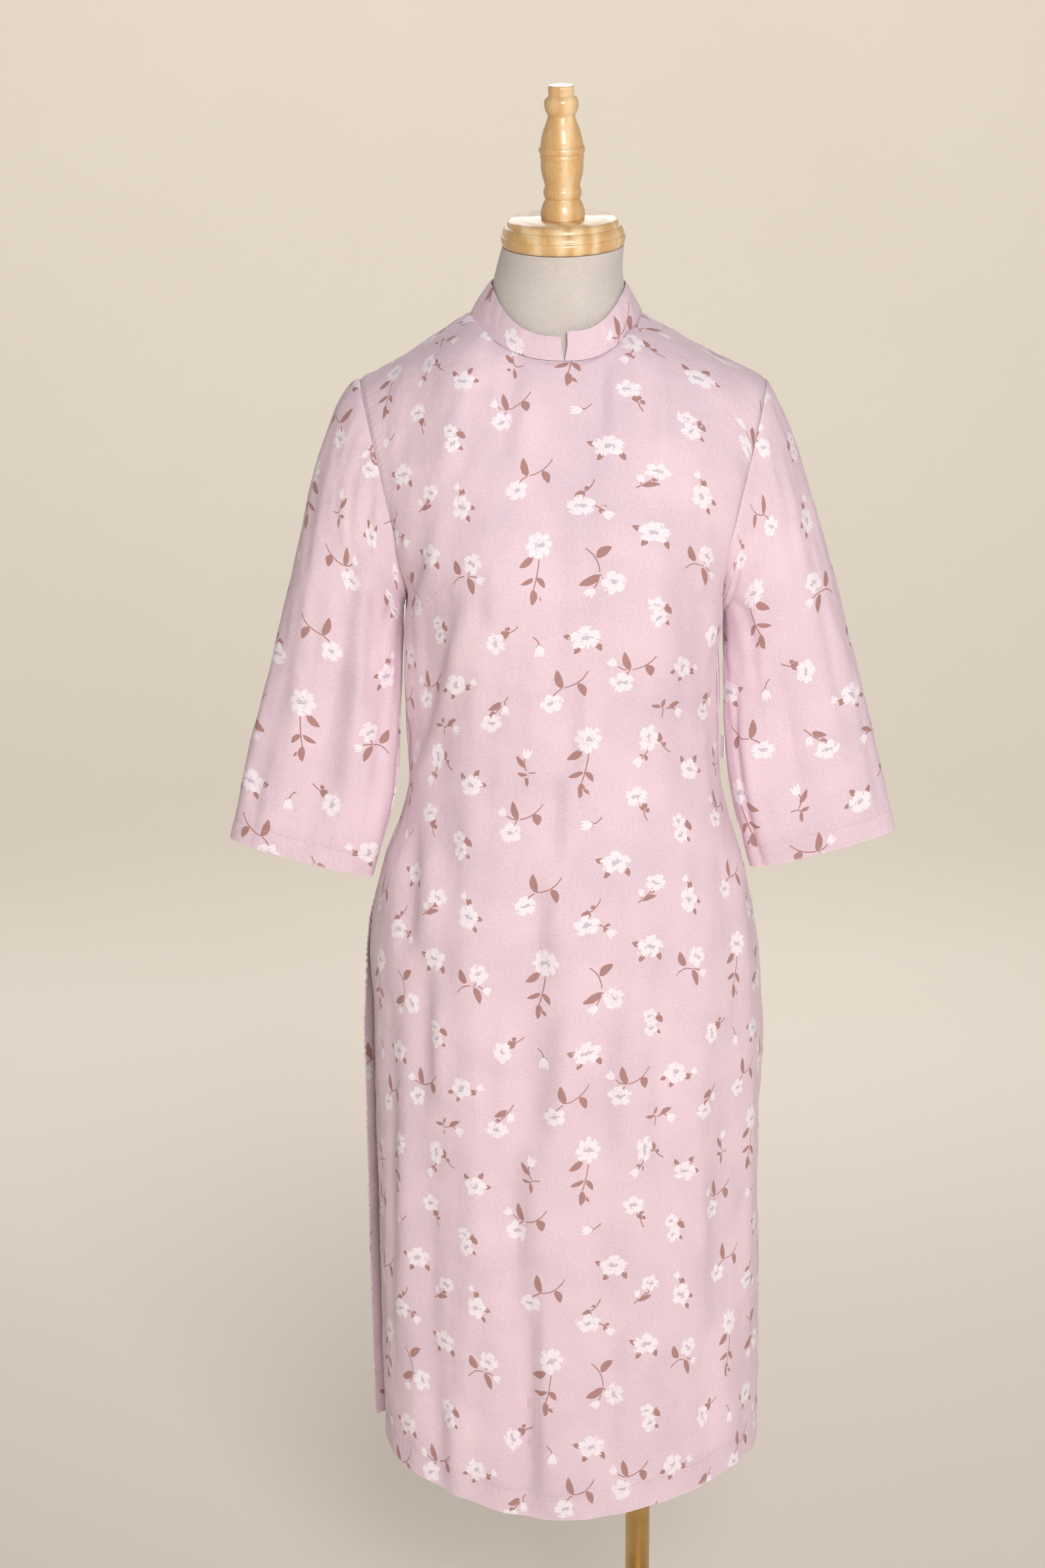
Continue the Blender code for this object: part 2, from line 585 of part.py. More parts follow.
def back_panel(side):
    """One half of the back. The halves meet in the middle seam, open at its top."""
    across = columns(-1, 0) if side < 0 else columns(0, 1)
    grid = panel(False, across, BODICE_ROWS, SKIRT_ROWS)
    middle, edge = (-1, 0) if side < 0 else (0, -1)
    grid = grid + fold_field(BACK_FOLDS, grid[..., 0], grid[..., 2])[..., None] * facing_of(grid)
    normals = seam_normals(across, grid, -facing_of(grid), False, ((edge, side),))
    normals[:, middle, 0] = 0
    normals = unit(normals)
    grid = pull_in(grid, top=True)
    bottom = NECK_POINT + NECK_BACK_RISE - BACK_SLIT
    opened = smooth((grid[:, middle, 2] - bottom) / 0.03)
    grid[:, middle, 0] += side * BACK_SLIT_GAP / 2 * opened
    return cloth("back_left" if side > 0 else "back_right", grid, normals)


def sleeve_tube(side):
    psi = np.linspace(0, 2 * np.pi, SLEEVE_SIDES, endpoint=False)
    grid = sleeve(side, psi, CAP_STEPS, SLEEVE_ROWS)
    down = (np.arange(len(grid)) - len(CAP_STEPS))[:, None] / SLEEVE_ROWS
    turn = np.degrees(psi)[None, :]
    push = 0.0
    for f in SLEEVE_FOLDS[side]:
        along = (down - f.down0) / (f.down1 - f.down0)
        aside = turn - mix(f.turn0, f.turn1, np.clip(along, 0, 1))
        ends = smooth(along / 0.35) * smooth((1 - along) / 0.3 + 0.2)
        push = push + f.depth * np.exp(-((aside / f.width) ** 2)) * ends
    grid = grid + side * push[..., None] * facing_of(grid, closed=True)
    normals = -side * facing_of(grid, closed=True)
    normals[0] = armhole_normal(side, psi)
    return cloth("sleeve_left" if side > 0 else "sleeve_right", grid, normals, closed=True)


def collar_band(side):
    """Half of the collar, from the notch at the front to the opening at the back."""
    rows = []
    for up in np.linspace(1, 0, COLLAR_ROWS + 1):
        turns = np.linspace(0, np.pi, 2 * NECK_COLUMNS + 1)
        turns[0] = mix(SEAM, COLLAR_NOTCH[side], up) / COLLAR_TOP_HALF
        turns[-1] = np.pi - BACK_SLIT_GAP / 2 / COLLAR_TOP_HALF
        rows.append(collar_point(turns, up, side))
    grid = np.array(rows)
    return cloth("collar_left" if side > 0 else "collar_right", grid, facing_of(grid) * side)


# ------------------------------------------------------------------ the closure and label
def collar_frame(turn, up, side):
    """A place on the collar's outer side, with Z out of it and Y up it."""
    here = collar_point(np.array([turn]), up, side)[0]
    above = collar_point(np.array([turn]), up + 0.1, side)[0]
    beside = collar_point(np.array([turn - 0.05]), up, side)[0]
    up_way = Vector(above - here).normalized()
    out = Vector(beside - here).cross(up_way).normalized() * -1
    if out.y < 0:
        out = -out
    across = up_way.cross(out)
    frame = Matrix((across, up_way, out)).transposed().to_4x4()
    return Matrix.Translation(Vector(here) + Vector((FORM_X, 0, 0))) @ frame


def button():
    profile = (
        (0.0010, 0.0004), (0.0010, 0.0030), (0.0045, 0.0032), (0.0052, 0.0040),
        (0.0050, 0.0052), (0.0038, 0.0060), (0.0034, 0.0056), (0.0020, 0.0054),
    )
    turned("button", profile, 14, BUTTON, collar_frame(BUTTON_TURN, BUTTON_UP, 1))


def button_loop():
    """A narrow ring of cord, round the button's shank and over the edge of the other half."""
    place = collar_frame(BUTTON_TURN, BUTTON_UP, 1)
    way = -1.0 if (place.to_3x3() @ Vector((1, 0, 0))).x > 0 else 1.0
    path = []
    for turn in np.linspace(0, 2 * np.pi, 16, endpoint=False):
        reach = LOOP_REACH if math.cos(turn) * way > 0 else 0.0
        x = LOOP_RADIUS * math.cos(turn) + way * reach
        path.append((x, LOOP_RADIUS * math.sin(turn)))
    path = np.array(path)
    along = unit(np.roll(path, -1, 0) - np.roll(path, 1, 0))
    out = np.stack([along[:, 1], -along[:, 0]], -1)
    turns = np.linspace(0, 2 * np.pi, 6, endpoint=False)
    points = []
    for t in turns:
        flat = path + CORD_RADIUS * math.cos(t) * out
        level = 0.0004 + CORD_RADIUS + CORD_RADIUS * math.sin(t)
        points += [(x, y, level) for x, y in flat]
    faces = quads_of(6, len(path), True)
    last = 5 * len(path)
    for c in range(len(path)):
        d = (c + 1) % len(path)
        faces.append((last + c, c, d, last + d))
    mesh = bpy.data.meshes.new("button_loop")
    mesh.from_pydata(points, [], faces)
    mesh.transform(place)
    face_out(mesh)
    add_object("button_loop", mesh, CLOTH)


def label():
    """A small blank tab, folded in two, that stands out of the side seam."""
    x = curve(FRONT_RINGS, "right", LABEL_Z) + 3 * SEAM
    y = curve(FRONT_RINGS, "side", LABEL_Z)
    points = []
    for out, bend in ((0.0, 0.0), (0.5, 0.0045), (1.0, 0.0100)):
        for up in (-0.5, 0.5):
            for thick in (-0.5, 0.5):
                points.append((
                    FORM_X + x + out * LABEL_WIDTH,
                    y - bend + thick * LABEL_THICK,
                    LABEL_Z + up * LABEL_TALL - 0.002 * out,
                ))
    faces = []
    for s in (0, 4):
        faces += [
            (s, s + 1, s + 5, s + 4), (s + 2, s + 6, s + 7, s + 3),
            (s, s + 4, s + 6, s + 2), (s + 1, s + 3, s + 7, s + 5),
        ]
    faces += [(0, 2, 3, 1), (8, 9, 11, 10)]
    mesh = bpy.data.meshes.new("label")
    mesh.from_pydata(points, [], faces)
    face_out(mesh)
    mesh.set_sharp_from_angle(angle=math.radians(40))
    add_object("label", mesh, LABEL)


# ------------------------------------------------------------------ the dress form
def under_cloth(front, across):
    """The form's side of the bodice: as far behind the cloth everywhere as a wall and a gap."""
    grid = panel(front, across, BODICE_ROWS, SKIRT_ROWS)
    facing = facing_of(grid) if front else -facing_of(grid)
    normals = seam_normals(across, grid, facing, front, ((0, -1), (-1, 1)))
    rows = (grid - (WALL + CLEAR) * normals)[: BODICE_ROWS + 1]
    if not front:
        rows[:, [0, -1], 1] -= RIM_INSET * np.sin(np.linspace(0, np.pi, len(rows)))[:, None]
    return rows


def neck_place(x):
    """The middle of the neck's top, on a form whose middle line is at x."""
    middle = Matrix.Translation((x + CAP_X, CAP_Y, CAP_TOP))
    return middle @ Matrix.Rotation(NECK_TILT, 4, "X") @ Matrix.Rotation(NECK_LEAN, 4, "Y")


def neck_rings(loop):
    """The neck, from the neckline's loop to a round end that leans forward."""
    cap = neck_place(0.0)
    level = CAP_PROFILE[0][1] - SEAM
    turns = np.arctan2(loop[:, 0] / NECK_HALF, (0.001 - loop[:, 1]) / 0.066)
    circle = np.array([
        cap @ Vector((NECK_TOP_RADIUS * math.sin(t), -NECK_TOP_RADIUS * math.cos(t), level))
        for t in turns
    ])
    rows = [loop]
    for up, toward in NECK_STEPS:
        flat = mix(loop[:, :2], circle[:, :2], toward)
        flat[:, 0] -= NECK_ASIDE * math.sin(math.pi * up) * toward
        rows.append(np.concatenate([flat, mix(loop[:, 2:], circle[:, 2:], up)], 1))
    return rows


def torso():
    """The form's body and neck: one closed solid just inside the tunic's shoulders."""
    across = columns(-1, 1)
    sides = {front: under_cloth(front, across) for front in (True, False)}
    points, faces = [], []

    def add(rows, closed=False, capped=False):
        start = len(points)
        points.extend(np.array(rows).reshape(-1, 3).tolist())
        faces.extend(quads_of(len(rows), len(rows[0]), closed, start))
        if capped:
            faces.append(tuple(range(len(points) - len(rows[0]), len(points))))

    for front, bodice_rows in sides.items():
        rows = list(bodice_rows)
        for ring in TORSO_RINGS:
            share = even_share(across, ring.square)
            reach = ring.front if front else ring.back
            y = mix(ring.side, reach, squircle(share, ring.square))
            if front:
                y = y - bust(ring.half * share, ring.z)
            rows.append(np.stack([ring.half * share, y, ring.z + 0 * across], -1))
        add(rows)
    for side, column in ((-1, 0), (1, -1)):
        loop = np.concatenate([sides[True][:, column], sides[False][1:-1][::-1, column]])
        middle = loop.mean(0)
        rows = [loop]
        for share, swell in ARMHOLE_PLATE:
            rows.append(mix(middle, loop, share) + np.array([side * swell, 0, 0]))
        add(rows, closed=True, capped=True)
    inside = np.abs(across) < NECK_SHARE + 1e-6
    loop = np.concatenate([sides[True][0][inside], sides[False][0][inside][::-1][1:-1]])
    add(neck_rings(loop), closed=True, capped=True)

    mesh = bpy.data.meshes.new("torso")
    mesh.from_pydata((np.array(points) + np.array([FORM_X, 0, 0])).tolist(), [], faces)
    bm = bmesh.new()
    bm.from_mesh(mesh)
    bmesh.ops.remove_doubles(bm, verts=bm.verts, dist=2e-5)
    open_edges = [e for e in bm.edges if len(e.link_faces) == 1]
    bmesh.ops.contextual_create(bm, geom=open_edges)
    bm.to_mesh(mesh)
    bm.free()
    face_out(mesh)
    add_object("torso", mesh, JERSEY)


def bottom_board():
    """The flat board that closes the form from below."""
    square, half = TORSO_RINGS[-1].square, TORSO_RINGS[-1].half - 0.001
    side, front, back = TORSO_RINGS[-1].side, TORSO_RINGS[-1].front, TORSO_RINGS[-1].back
    outline = []
    for turn in np.linspace(0, 2 * np.pi, 48, endpoint=False):
        share, ahead = math.sin(turn), math.cos(turn)
        reach = (front + 0.001) if ahead > 0 else (back - 0.001)
        scale = (abs(share) ** square + abs(ahead) ** square) ** (-1 / square)
        outline.append((half * share * scale, side + (reach - side) * abs(ahead) * scale))
    top = TORSO_BOTTOM - SEAM
    points = [(FORM_X + x, y, z) for z in (top, top - BOARD_THICK) for x, y in outline]
    count = len(outline)
    faces = quads_of(2, count, True)
    faces += [tuple(range(count)), tuple(range(count, 2 * count))]
    mesh = bpy.data.meshes.new("bottom_board")
    mesh.from_pydata(points, [], faces)
    face_out(mesh)
    mesh.set_sharp_from_angle(angle=math.radians(40))
    add_object("bottom_board", mesh, BOARD)


def collar_ring_profile(inner, outer, low, high, round_by):
    """A ring round the pole with softened outer corners, as a closed profile."""
    return (
        (inner, low), (outer, low), (outer, high - round_by), (outer - round_by, high),
        (inner, high), (inner, low),
    )


def stand():
    board_low = TORSO_BOTTOM - SEAM - BOARD_THICK
    bore = POLE_RADIUS + SEAM
    base = (
        (BASE_RADIUS, 0.0), (BASE_RADIUS, BASE_THICK * 0.45), (BASE_RADIUS - 0.002, BASE_THICK * 0.75),
        (BASE_RADIUS - 0.006, BASE_THICK * 0.92), (BASE_RADIUS - 0.014, BASE_THICK),
    )
    turned("base", base, 60, BRASS)
    hub = collar_ring_profile(bore, HUB_RADIUS, BASE_THICK + SEAM, BASE_THICK + SEAM + HUB_HEIGHT, 0.004)
    turned("base_hub", hub, 28, BRASS)
    low, high = BASE_THICK + SEAM, board_low - SEAM
    pole = (
        (POLE_RADIUS - 0.001, low), (POLE_RADIUS, low + 0.001),
        (POLE_RADIUS, high - 0.001), (POLE_RADIUS - 0.001, high),
    )
    turned("pole", pole, 32, BRASS)
    socket = (
        (bore, board_low - SEAM), (SOCKET_RADIUS + 0.018, board_low - SEAM),
        (SOCKET_RADIUS + 0.018, board_low - SEAM - 0.004), (SOCKET_RADIUS * 0.65, board_low - SEAM - 0.006),
        (SOCKET_RADIUS * 0.6, board_low - SEAM - SOCKET_HEIGHT), (bore, board_low - SEAM - SOCKET_HEIGHT),
        (bore, board_low - SEAM),
    )
    turned("pole_socket", socket, 28, BRASS)


def neck_top():
    place = neck_place(FORM_X)
    turned("neck_cap", CAP_PROFILE, 44, WOOD, place)
    turned("finial", FINIAL_PROFILE, 24, WOOD, place)


def main():
    for obj in list(bpy.data.objects):
        bpy.data.objects.remove(obj, do_unlink=True)
    front_panel()
    for side in (1, -1):
        back_panel(side)
        sleeve_tube(side)
        collar_band(side)
    button()
    button_loop()
    label()
    torso()
    bottom_board()
    neck_top()
    stand()


main()
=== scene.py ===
"""An ao dai tunic in small-flowered cloth on a limbless dress form.

Metres, in the frame's own place. The cloth comes from the same surface functions as the
solids, drawn much finer, with its creases pressed in. Each panel carries two maps in metres:
Cloth is the place on the cut cloth, and Borders the distance from its side edge and its hem.
"""

import itertools
import math
from collections import namedtuple

import bmesh
import bpy
import numpy as np
from mathutils import Matrix, Vector


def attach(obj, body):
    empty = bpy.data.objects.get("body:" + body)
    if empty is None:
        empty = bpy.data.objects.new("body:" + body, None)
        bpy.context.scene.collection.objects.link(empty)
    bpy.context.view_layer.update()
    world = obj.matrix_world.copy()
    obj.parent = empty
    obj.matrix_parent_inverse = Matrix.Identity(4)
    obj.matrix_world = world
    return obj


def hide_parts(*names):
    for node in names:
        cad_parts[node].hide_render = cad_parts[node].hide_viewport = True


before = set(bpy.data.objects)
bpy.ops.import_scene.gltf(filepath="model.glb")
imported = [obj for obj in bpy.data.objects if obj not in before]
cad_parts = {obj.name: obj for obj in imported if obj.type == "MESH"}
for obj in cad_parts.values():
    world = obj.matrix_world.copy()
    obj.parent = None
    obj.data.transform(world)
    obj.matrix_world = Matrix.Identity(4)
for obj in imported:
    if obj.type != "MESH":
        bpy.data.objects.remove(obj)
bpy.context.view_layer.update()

# ------------------------------------------------------------------ driving sizes
FORM_X = -0.080  # the form's middle line, from the pole
FORM_MIDDLE = np.array([FORM_X, 0, 0])
WALL = 0.0014  # cloth
SEAM = 0.0003  # between two pieces that are sewn together
CLEAR = 0.0011  # between the form and the cloth that rests on it

UNDERARM = 1.158
SLIT_TOP = 0.866
HEM_MIDDLE = 0.236
HEM_RISE = 0.050  # how much higher the slit corners are cut than the middle
BACK_HEM_RISE = 0.058

NECK_HALF = 0.083  # neckline, from the middle line to the neck point
NECK_POINT = 1.422
NECK_POINT_Y = 0.012
NECK_FRONT = -0.068
NECK_FRONT_DROP = 0.041
NECK_BACK = 0.068
NECK_BACK_RISE = 0.018
NECK_SHIFT = 0.0065  # how far the neck points sit towards the wearer's right
SHOULDER_HALF = 0.195
SHOULDER_TIP = 1.360
SHOULDER_SAG = 0.003
ARMHOLE_NARROW = 0.150  # half-width at the underarm
ARMHOLE_FRONT = 0.057
ARMHOLE_BACK = 0.057
BLADES = 0.010  # fullness over the shoulder blades
BUST = 0.014
BUST_X = 0.082
BUST_Z = 1.168
BUST_WIDTH = 0.046
BUST_HEIGHT = 0.062

Ring = namedtuple("Ring", "z right left front back side square")
# Half-widths to the wearer's left (right hand of the front view) and right, the Y of the
# middle front, middle back and side line, and how square the ring is (2 is an ellipse).
FRONT_RINGS = (
    Ring(1.158, 0.1500, 0.1500, -0.116, 0.092, 0.000, 2.35),
    Ring(1.110, 0.1510, 0.1515, -0.114, 0.088, 0.000, 2.30),
    Ring(1.060, 0.1530, 0.1530, -0.110, 0.085, 0.000, 2.20),
    Ring(1.010, 0.1540, 0.1515, -0.106, 0.083, 0.001, 2.15),
    Ring(0.970, 0.1560, 0.1505, -0.104, 0.084, 0.002, 2.15),
    Ring(0.930, 0.1665, 0.1605, -0.104, 0.092, 0.004, 2.20),
    Ring(0.890, 0.1790, 0.1755, -0.105, 0.103, 0.007, 2.25),
    Ring(0.850, 0.1885, 0.1860, -0.106, 0.110, 0.010, 2.30),
    Ring(0.800, 0.1965, 0.1905, -0.105, 0.113, 0.013, 2.40),
    Ring(0.740, 0.2005, 0.1880, -0.104, 0.113, 0.015, 2.45),
    Ring(0.600, 0.1990, 0.1846, -0.102, 0.111, 0.017, 2.50),
    Ring(0.450, 0.2005, 0.1832, -0.100, 0.107, 0.018, 2.60),
    Ring(0.230, 0.2025, 0.1782, -0.097, 0.102, 0.018, 2.70),
)
# The back panel hangs free of the front one below the slit, a little outside it on the
# wearer's right and inside it on the left.
BACK_APART = 0.014  # how far behind the front panel's edge the back panel's edge hangs
BACK_RIGHT_SHIFT = -0.003
BACK_FLARE = 0.0130  # how far its edge on the wearer's right turns outwards

TORSO_BOTTOM = 0.725
TorsoRing = namedtuple("TorsoRing", "z half front back side square")
TORSO_RINGS = (
    TorsoRing(1.110, 0.1400, -0.1060, 0.0800, 0.000, 2.25),
    TorsoRing(1.050, 0.1240, -0.0890, 0.0690, 0.000, 2.15),
    TorsoRing(0.995, 0.1150, -0.0790, 0.0640, 0.001, 2.10),
    TorsoRing(0.940, 0.1280, -0.0840, 0.0740, 0.003, 2.15),
    TorsoRing(0.880, 0.1580, -0.0930, 0.0930, 0.006, 2.20),
    TorsoRing(0.820, 0.1770, -0.0960, 0.1040, 0.010, 2.30),
    TorsoRing(0.770, 0.1800, -0.0940, 0.1030, 0.012, 2.35),
    TorsoRing(TORSO_BOTTOM, 0.1770, -0.0900, 0.0960, 0.013, 2.35),
)

# Sleeve rings below the armhole: where the ring's inner and outer edges hang, its
# half-depth from front to back, and its middle's Y.
Cuff = namedtuple("Cuff", "inner_x inner_z outer_x outer_z half_depth y")
SLEEVE_RINGS = (
    Cuff(0.1565, 1.134, 0.2665, 1.162, 0.0460, 0.003),
    Cuff(0.1580, 1.050, 0.2875, 1.080, 0.0400, 0.001),
    Cuff(0.1640, 0.965, 0.3075, 0.999, 0.0330, -0.004),
    Cuff(0.1855, 0.880, 0.3265, 0.918, 0.0260, -0.008),
)
SLEEVE_LIFT = {1: 0.005, -1: -0.004}  # the two sleeves hang a little unevenly
CAP_FULLNESS = {1: 0.008, -1: 0.017}

COLLAR_HEIGHT = 0.036
COLLAR_FRONT_HEIGHT = {1: 0.0275, -1: 0.0225}  # the two halves' at the notch
COLLAR_TOP_HALF = 0.0655
COLLAR_SHIFT = 0.0047  # how far its top edge sits towards the wearer's right
COLLAR_NOTCH = {1: 0.0046, -1: 0.0036}  # how far each half stands back at its top edge
COLLAR_TOP_FRONT = -0.0680
COLLAR_TOP_BACK = 0.0650
COLLAR_TOP_Y = 0.003
BACK_SLIT = 0.140  # the neck opening in the middle back seam
BACK_SLIT_GAP = 0.0024

NECK_TILT = math.radians(11.0)  # the neck, its cap and the finial lean forward
NECK_LEAN = math.radians(-1.1)  # and a little to the wearer's right
CAP_X = -0.0008
CAP_Y = -0.006
CAP_TOP = 1.512
NECK_TOP_RADIUS = 0.0578
NECK_ASIDE = 0.0040  # the neck's own bow to the wearer's right
# Shares of the way from the neckline to the neck's end, upwards and inwards.
NECK_STEPS = ((0.14, 0.43), (0.34, 0.69), (0.60, 0.86), (1.0, 1.0))
RIM_INSET = 0.0011  # how far the form's armhole rim stays in front of the back panel's edge
# The plate over each armhole: shares of its loop and how far each stands out.
ARMHOLE_PLATE = ((0.72, 0.003), (0.36, 0.005), (0.02, 0.0055))
# (radius, height along the tilted axis) from the bottom up
CAP_PROFILE = (
    (0.0545, -0.0253), (0.0572, -0.0246), (0.0588, -0.0215), (0.0594, -0.0175),
    (0.0589, -0.0148), (0.0580, -0.0139), (0.0574, -0.0110), (0.0559, -0.0080),
    (0.0544, -0.0063), (0.0534, -0.0059), (0.0528, -0.0036), (0.0514, -0.0013), (0.0492, 0.0),
)
FINIAL_PROFILE = (
    (0.0205, 0.0003), (0.0210, 0.0030), (0.0207, 0.0080), (0.0190, 0.0135),
    (0.0168, 0.0180), (0.0165, 0.0192), (0.0176, 0.0212), (0.0182, 0.0245),
    (0.0177, 0.0278), (0.0168, 0.0297), (0.0167, 0.0312), (0.0176, 0.0350),
    (0.0192, 0.0410), (0.0202, 0.0480), (0.0203, 0.0555), (0.0209, 0.0585),
    (0.0205, 0.0606), (0.0214, 0.0620), (0.0219, 0.0645), (0.0213, 0.0672),
    (0.0202, 0.0690), (0.0197, 0.0730), (0.0175, 0.0820), (0.0145, 0.0900),
    (0.0129, 0.0950), (0.0131, 0.0967), (0.0150, 0.1000), (0.0162, 0.1060),
    (0.0155, 0.1110), (0.0130, 0.1145), (0.0121, 0.1155), (0.0122, 0.1215), (0.0112, 0.1238),
)

BASE_RADIUS = 0.160
BASE_THICK = 0.010
POLE_RADIUS = 0.0125
BOARD_THICK = 0.012
SOCKET_RADIUS = 0.030
SOCKET_HEIGHT = 0.034
HUB_RADIUS = 0.026
HUB_HEIGHT = 0.030

# ------------------------------------------------------------------ folds
# A soft trough (depth > 0) or ridge (depth < 0) along a line from its first point to its
# second, both in the front view, as wide as its width, bowed sideways by its bow.
Fold = namedtuple("Fold", "x0 z0 x1 z1 width depth bow", defaults=(0.0,))
FRONT_FOLDS = (
    Fold(-0.128, 1.150, -0.122, 0.985, 0.020, 0.0060, -0.004),
    Fold(0.130, 1.150, 0.134, 1.020, 0.020, 0.0040, 0.004),
    Fold(-0.088, 1.040, -0.085, 0.400, 0.024, -0.0055),
    Fold(-0.006, 0.940, -0.052, 0.600, 0.022, 0.0050),
    Fold(-0.054, 0.680, -0.032, 0.200, 0.017, 0.0060, 0.004),
    Fold(0.002, 0.960, -0.004, 0.560, 0.020, -0.0045),
    Fold(0.000, 0.660, -0.012, 0.200, 0.020, -0.0055, -0.006),
    Fold(0.037, 0.920, 0.040, 0.480, 0.017, 0.0040),
    Fold(0.070, 1.000, 0.074, 0.440, 0.020, -0.0040),
    Fold(0.094, 0.900, 0.102, 0.420, 0.015, 0.0045),
    Fold(0.127, 0.940, 0.130, 0.360, 0.018, -0.0045),
    Fold(0.152, 0.860, 0.160, 0.300, 0.012, 0.0030),
    Fold(-0.152, 0.800, -0.154, 0.200, 0.016, -0.0045),
)
BACK_FOLDS = (
    Fold(-0.112, 0.980, -0.120, 0.200, 0.024, 0.0070, 0.006),
    Fold(-0.058, 1.060, -0.062, 0.200, 0.022, -0.0060, 0.004),
    Fold(0.052, 1.020, 0.058, 0.200, 0.024, 0.0060, -0.006),
    Fold(0.118, 1.000, 0.126, 0.200, 0.022, -0.0060, 0.003),
    Fold(-0.110, 1.180, -0.098, 1.020, 0.022, 0.0050, 0.004),
    Fold(0.108, 1.190, 0.096, 1.020, 0.022, 0.0050, -0.004),
)
# Sleeve folds run along the sleeve at a turn round it: 0 is the outer edge, 90 the front.
SleeveFold = namedtuple("SleeveFold", "turn0 down0 turn1 down1 width depth")
SLEEVE_FOLDS = {
    1: (
        SleeveFold(128, 0.28, 134, 1.05, 16, -0.0050),
        SleeveFold(96, 0.10, 100, 0.80, 15, 0.0050),
        SleeveFold(52, 0.30, 60, 1.05, 18, -0.0030),
        SleeveFold(250, 0.20, 262, 1.05, 22, 0.0050),
    ),
    -1: (
        SleeveFold(112, 0.05, 118, 0.75, 15, -0.0050),
        SleeveFold(84, 0.10, 92, 1.05, 17, 0.0050),
        SleeveFold(140, 0.25, 146, 1.05, 16, -0.0030),
        SleeveFold(258, 0.20, 248, 1.05, 22, 0.0050),
    ),
}

NECK_SHARE = 0.44  # the neck point's place between the middle and the armhole
BUTTON_TURN = math.pi - 0.085
BUTTON_UP = 0.62
LOOP_RADIUS = 0.0021
LOOP_REACH = 0.0105
CORD_RADIUS = 0.0007

LABEL_Z = 1.004
LABEL_TALL = 0.022
LABEL_WIDTH = 0.0038
LABEL_THICK = 0.0010


# ------------------------------------------------------------------ curves and fields
Step = namedtuple("Step", "at value")


def smooth(t):
    t = np.clip(t, 0.0, 1.0)
    return t * t * (3 - 2 * t)


def mix(a, b, t):
    return a + (b - a) * t


def curve(rows, column, at):
    """The named column of a table as a smooth curve of the table's first column."""
    xs = np.array([row[0] for row in rows])
    ys = np.array([getattr(row, column) for row in rows])
    if xs[0] > xs[-1]:
        xs, ys = xs[::-1], ys[::-1]
    slopes = np.gradient(ys, xs)
    at = np.clip(at, xs[0], xs[-1])
    i = np.clip(np.searchsorted(xs, at) - 1, 0, len(xs) - 2)
    span = xs[i + 1] - xs[i]
    t = (at - xs[i]) / span
    near = (1 + 2 * t) * (1 - t) ** 2 * ys[i] + t * (1 - t) ** 2 * span * slopes[i]
    far = t * t * (3 - 2 * t) * ys[i + 1] - t * t * (1 - t) * span * slopes[i + 1]
    return near + far


def beside_fold(fold, x, z):
    """A place's share of the way along a fold, and how far it is from the fold's bowed line."""
    run_x, run_z = fold.x1 - fold.x0, fold.z1 - fold.z0
    run = math.hypot(run_x, run_z)
    along = ((x - fold.x0) * run_x + (z - fold.z0) * run_z) / run**2
    beside = ((z - fold.z0) * run_x - (x - fold.x0) * run_z) / run
    return along, beside - fold.bow * 4 * along * (1 - along)


def fold_field(folds, x, z):
    """How far the cloth is pushed in at a place of the front view by these folds."""
    push = 0.0
    for fold in folds:
        along, beside = beside_fold(fold, x, z)
        ends = smooth(along / 0.4) * smooth((1.0 - along) / 0.25 + 0.15)
        push = push + fold.depth * np.exp(-((beside / fold.width) ** 2)) * ends
    return push * smooth((UNDERARM - z) / 0.06)


def unit(vectors):
    return vectors / np.linalg.norm(vectors, axis=-1, keepdims=True)


# ------------------------------------------------------------------ the tunic's surface
def neckline(share, front):
    """Height and Y of the neckline at a share of its half-width."""
    share = np.clip(np.abs(share), 0, 1)
    if front:
        height = NECK_POINT - NECK_FRONT_DROP * (1 - share**2.6)
        return height, mix(NECK_POINT_Y, NECK_FRONT, np.sqrt(1 - share**2))
    height = NECK_POINT + NECK_BACK_RISE * (1 - share**2)
    return height, mix(NECK_POINT_Y, NECK_BACK, np.sqrt(1 - share**2))


def aside(share, amount):
    """How far a neck edge's place at a share of its half-width moves to the wearer's right."""
    return -amount * np.sin(np.pi / 2 * np.clip(np.abs(share), 0, 1)) ** 2


def shoulder_line(x):
    """Height of the shoulder ridge at a distance from the middle line."""
    t = (np.abs(x) - NECK_HALF) / (SHOULDER_HALF - NECK_HALF)
    return mix(NECK_POINT, SHOULDER_TIP, t) - SHOULDER_SAG * np.sin(np.pi * np.clip(t, 0, 1))


def armhole_half(z):
    t = np.clip((z - UNDERARM) / (SHOULDER_TIP - UNDERARM), 0, 1)
    return ARMHOLE_NARROW + (SHOULDER_HALF - ARMHOLE_NARROW) * t**1.15


def squircle(share, square):
    """How far in front of the side line a ring is, from 0 to 1, at a share of its half-width."""
    return np.clip(1 - np.abs(share) ** square, 0, 1) ** (1 / square)


def even_share(j, square):
    """Shares of the half-width at even turns of a ring, for j from -1 to 1."""
    turn = np.abs(j) * np.pi / 2
    s, c = np.sin(turn), np.cos(turn)
    return np.sign(j) * s / (s**square + np.abs(c) ** square) ** (1 / square)


def top_share(j):
    """Shares of the shoulder's half-width along the panel's top edge."""
    neck = NECK_HALF / SHOULDER_HALF
    quarter = np.pi / 2
    inside = neck * np.sin(np.clip(np.abs(j) / NECK_SHARE, 0, 1) * quarter)
    past = np.clip((np.abs(j) - NECK_SHARE) / (1 - NECK_SHARE), 0, 1)
    outside = neck + (1 - neck) * np.sin(past * quarter)
    return np.sign(j) * np.where(np.abs(j) <= NECK_SHARE, inside, outside)


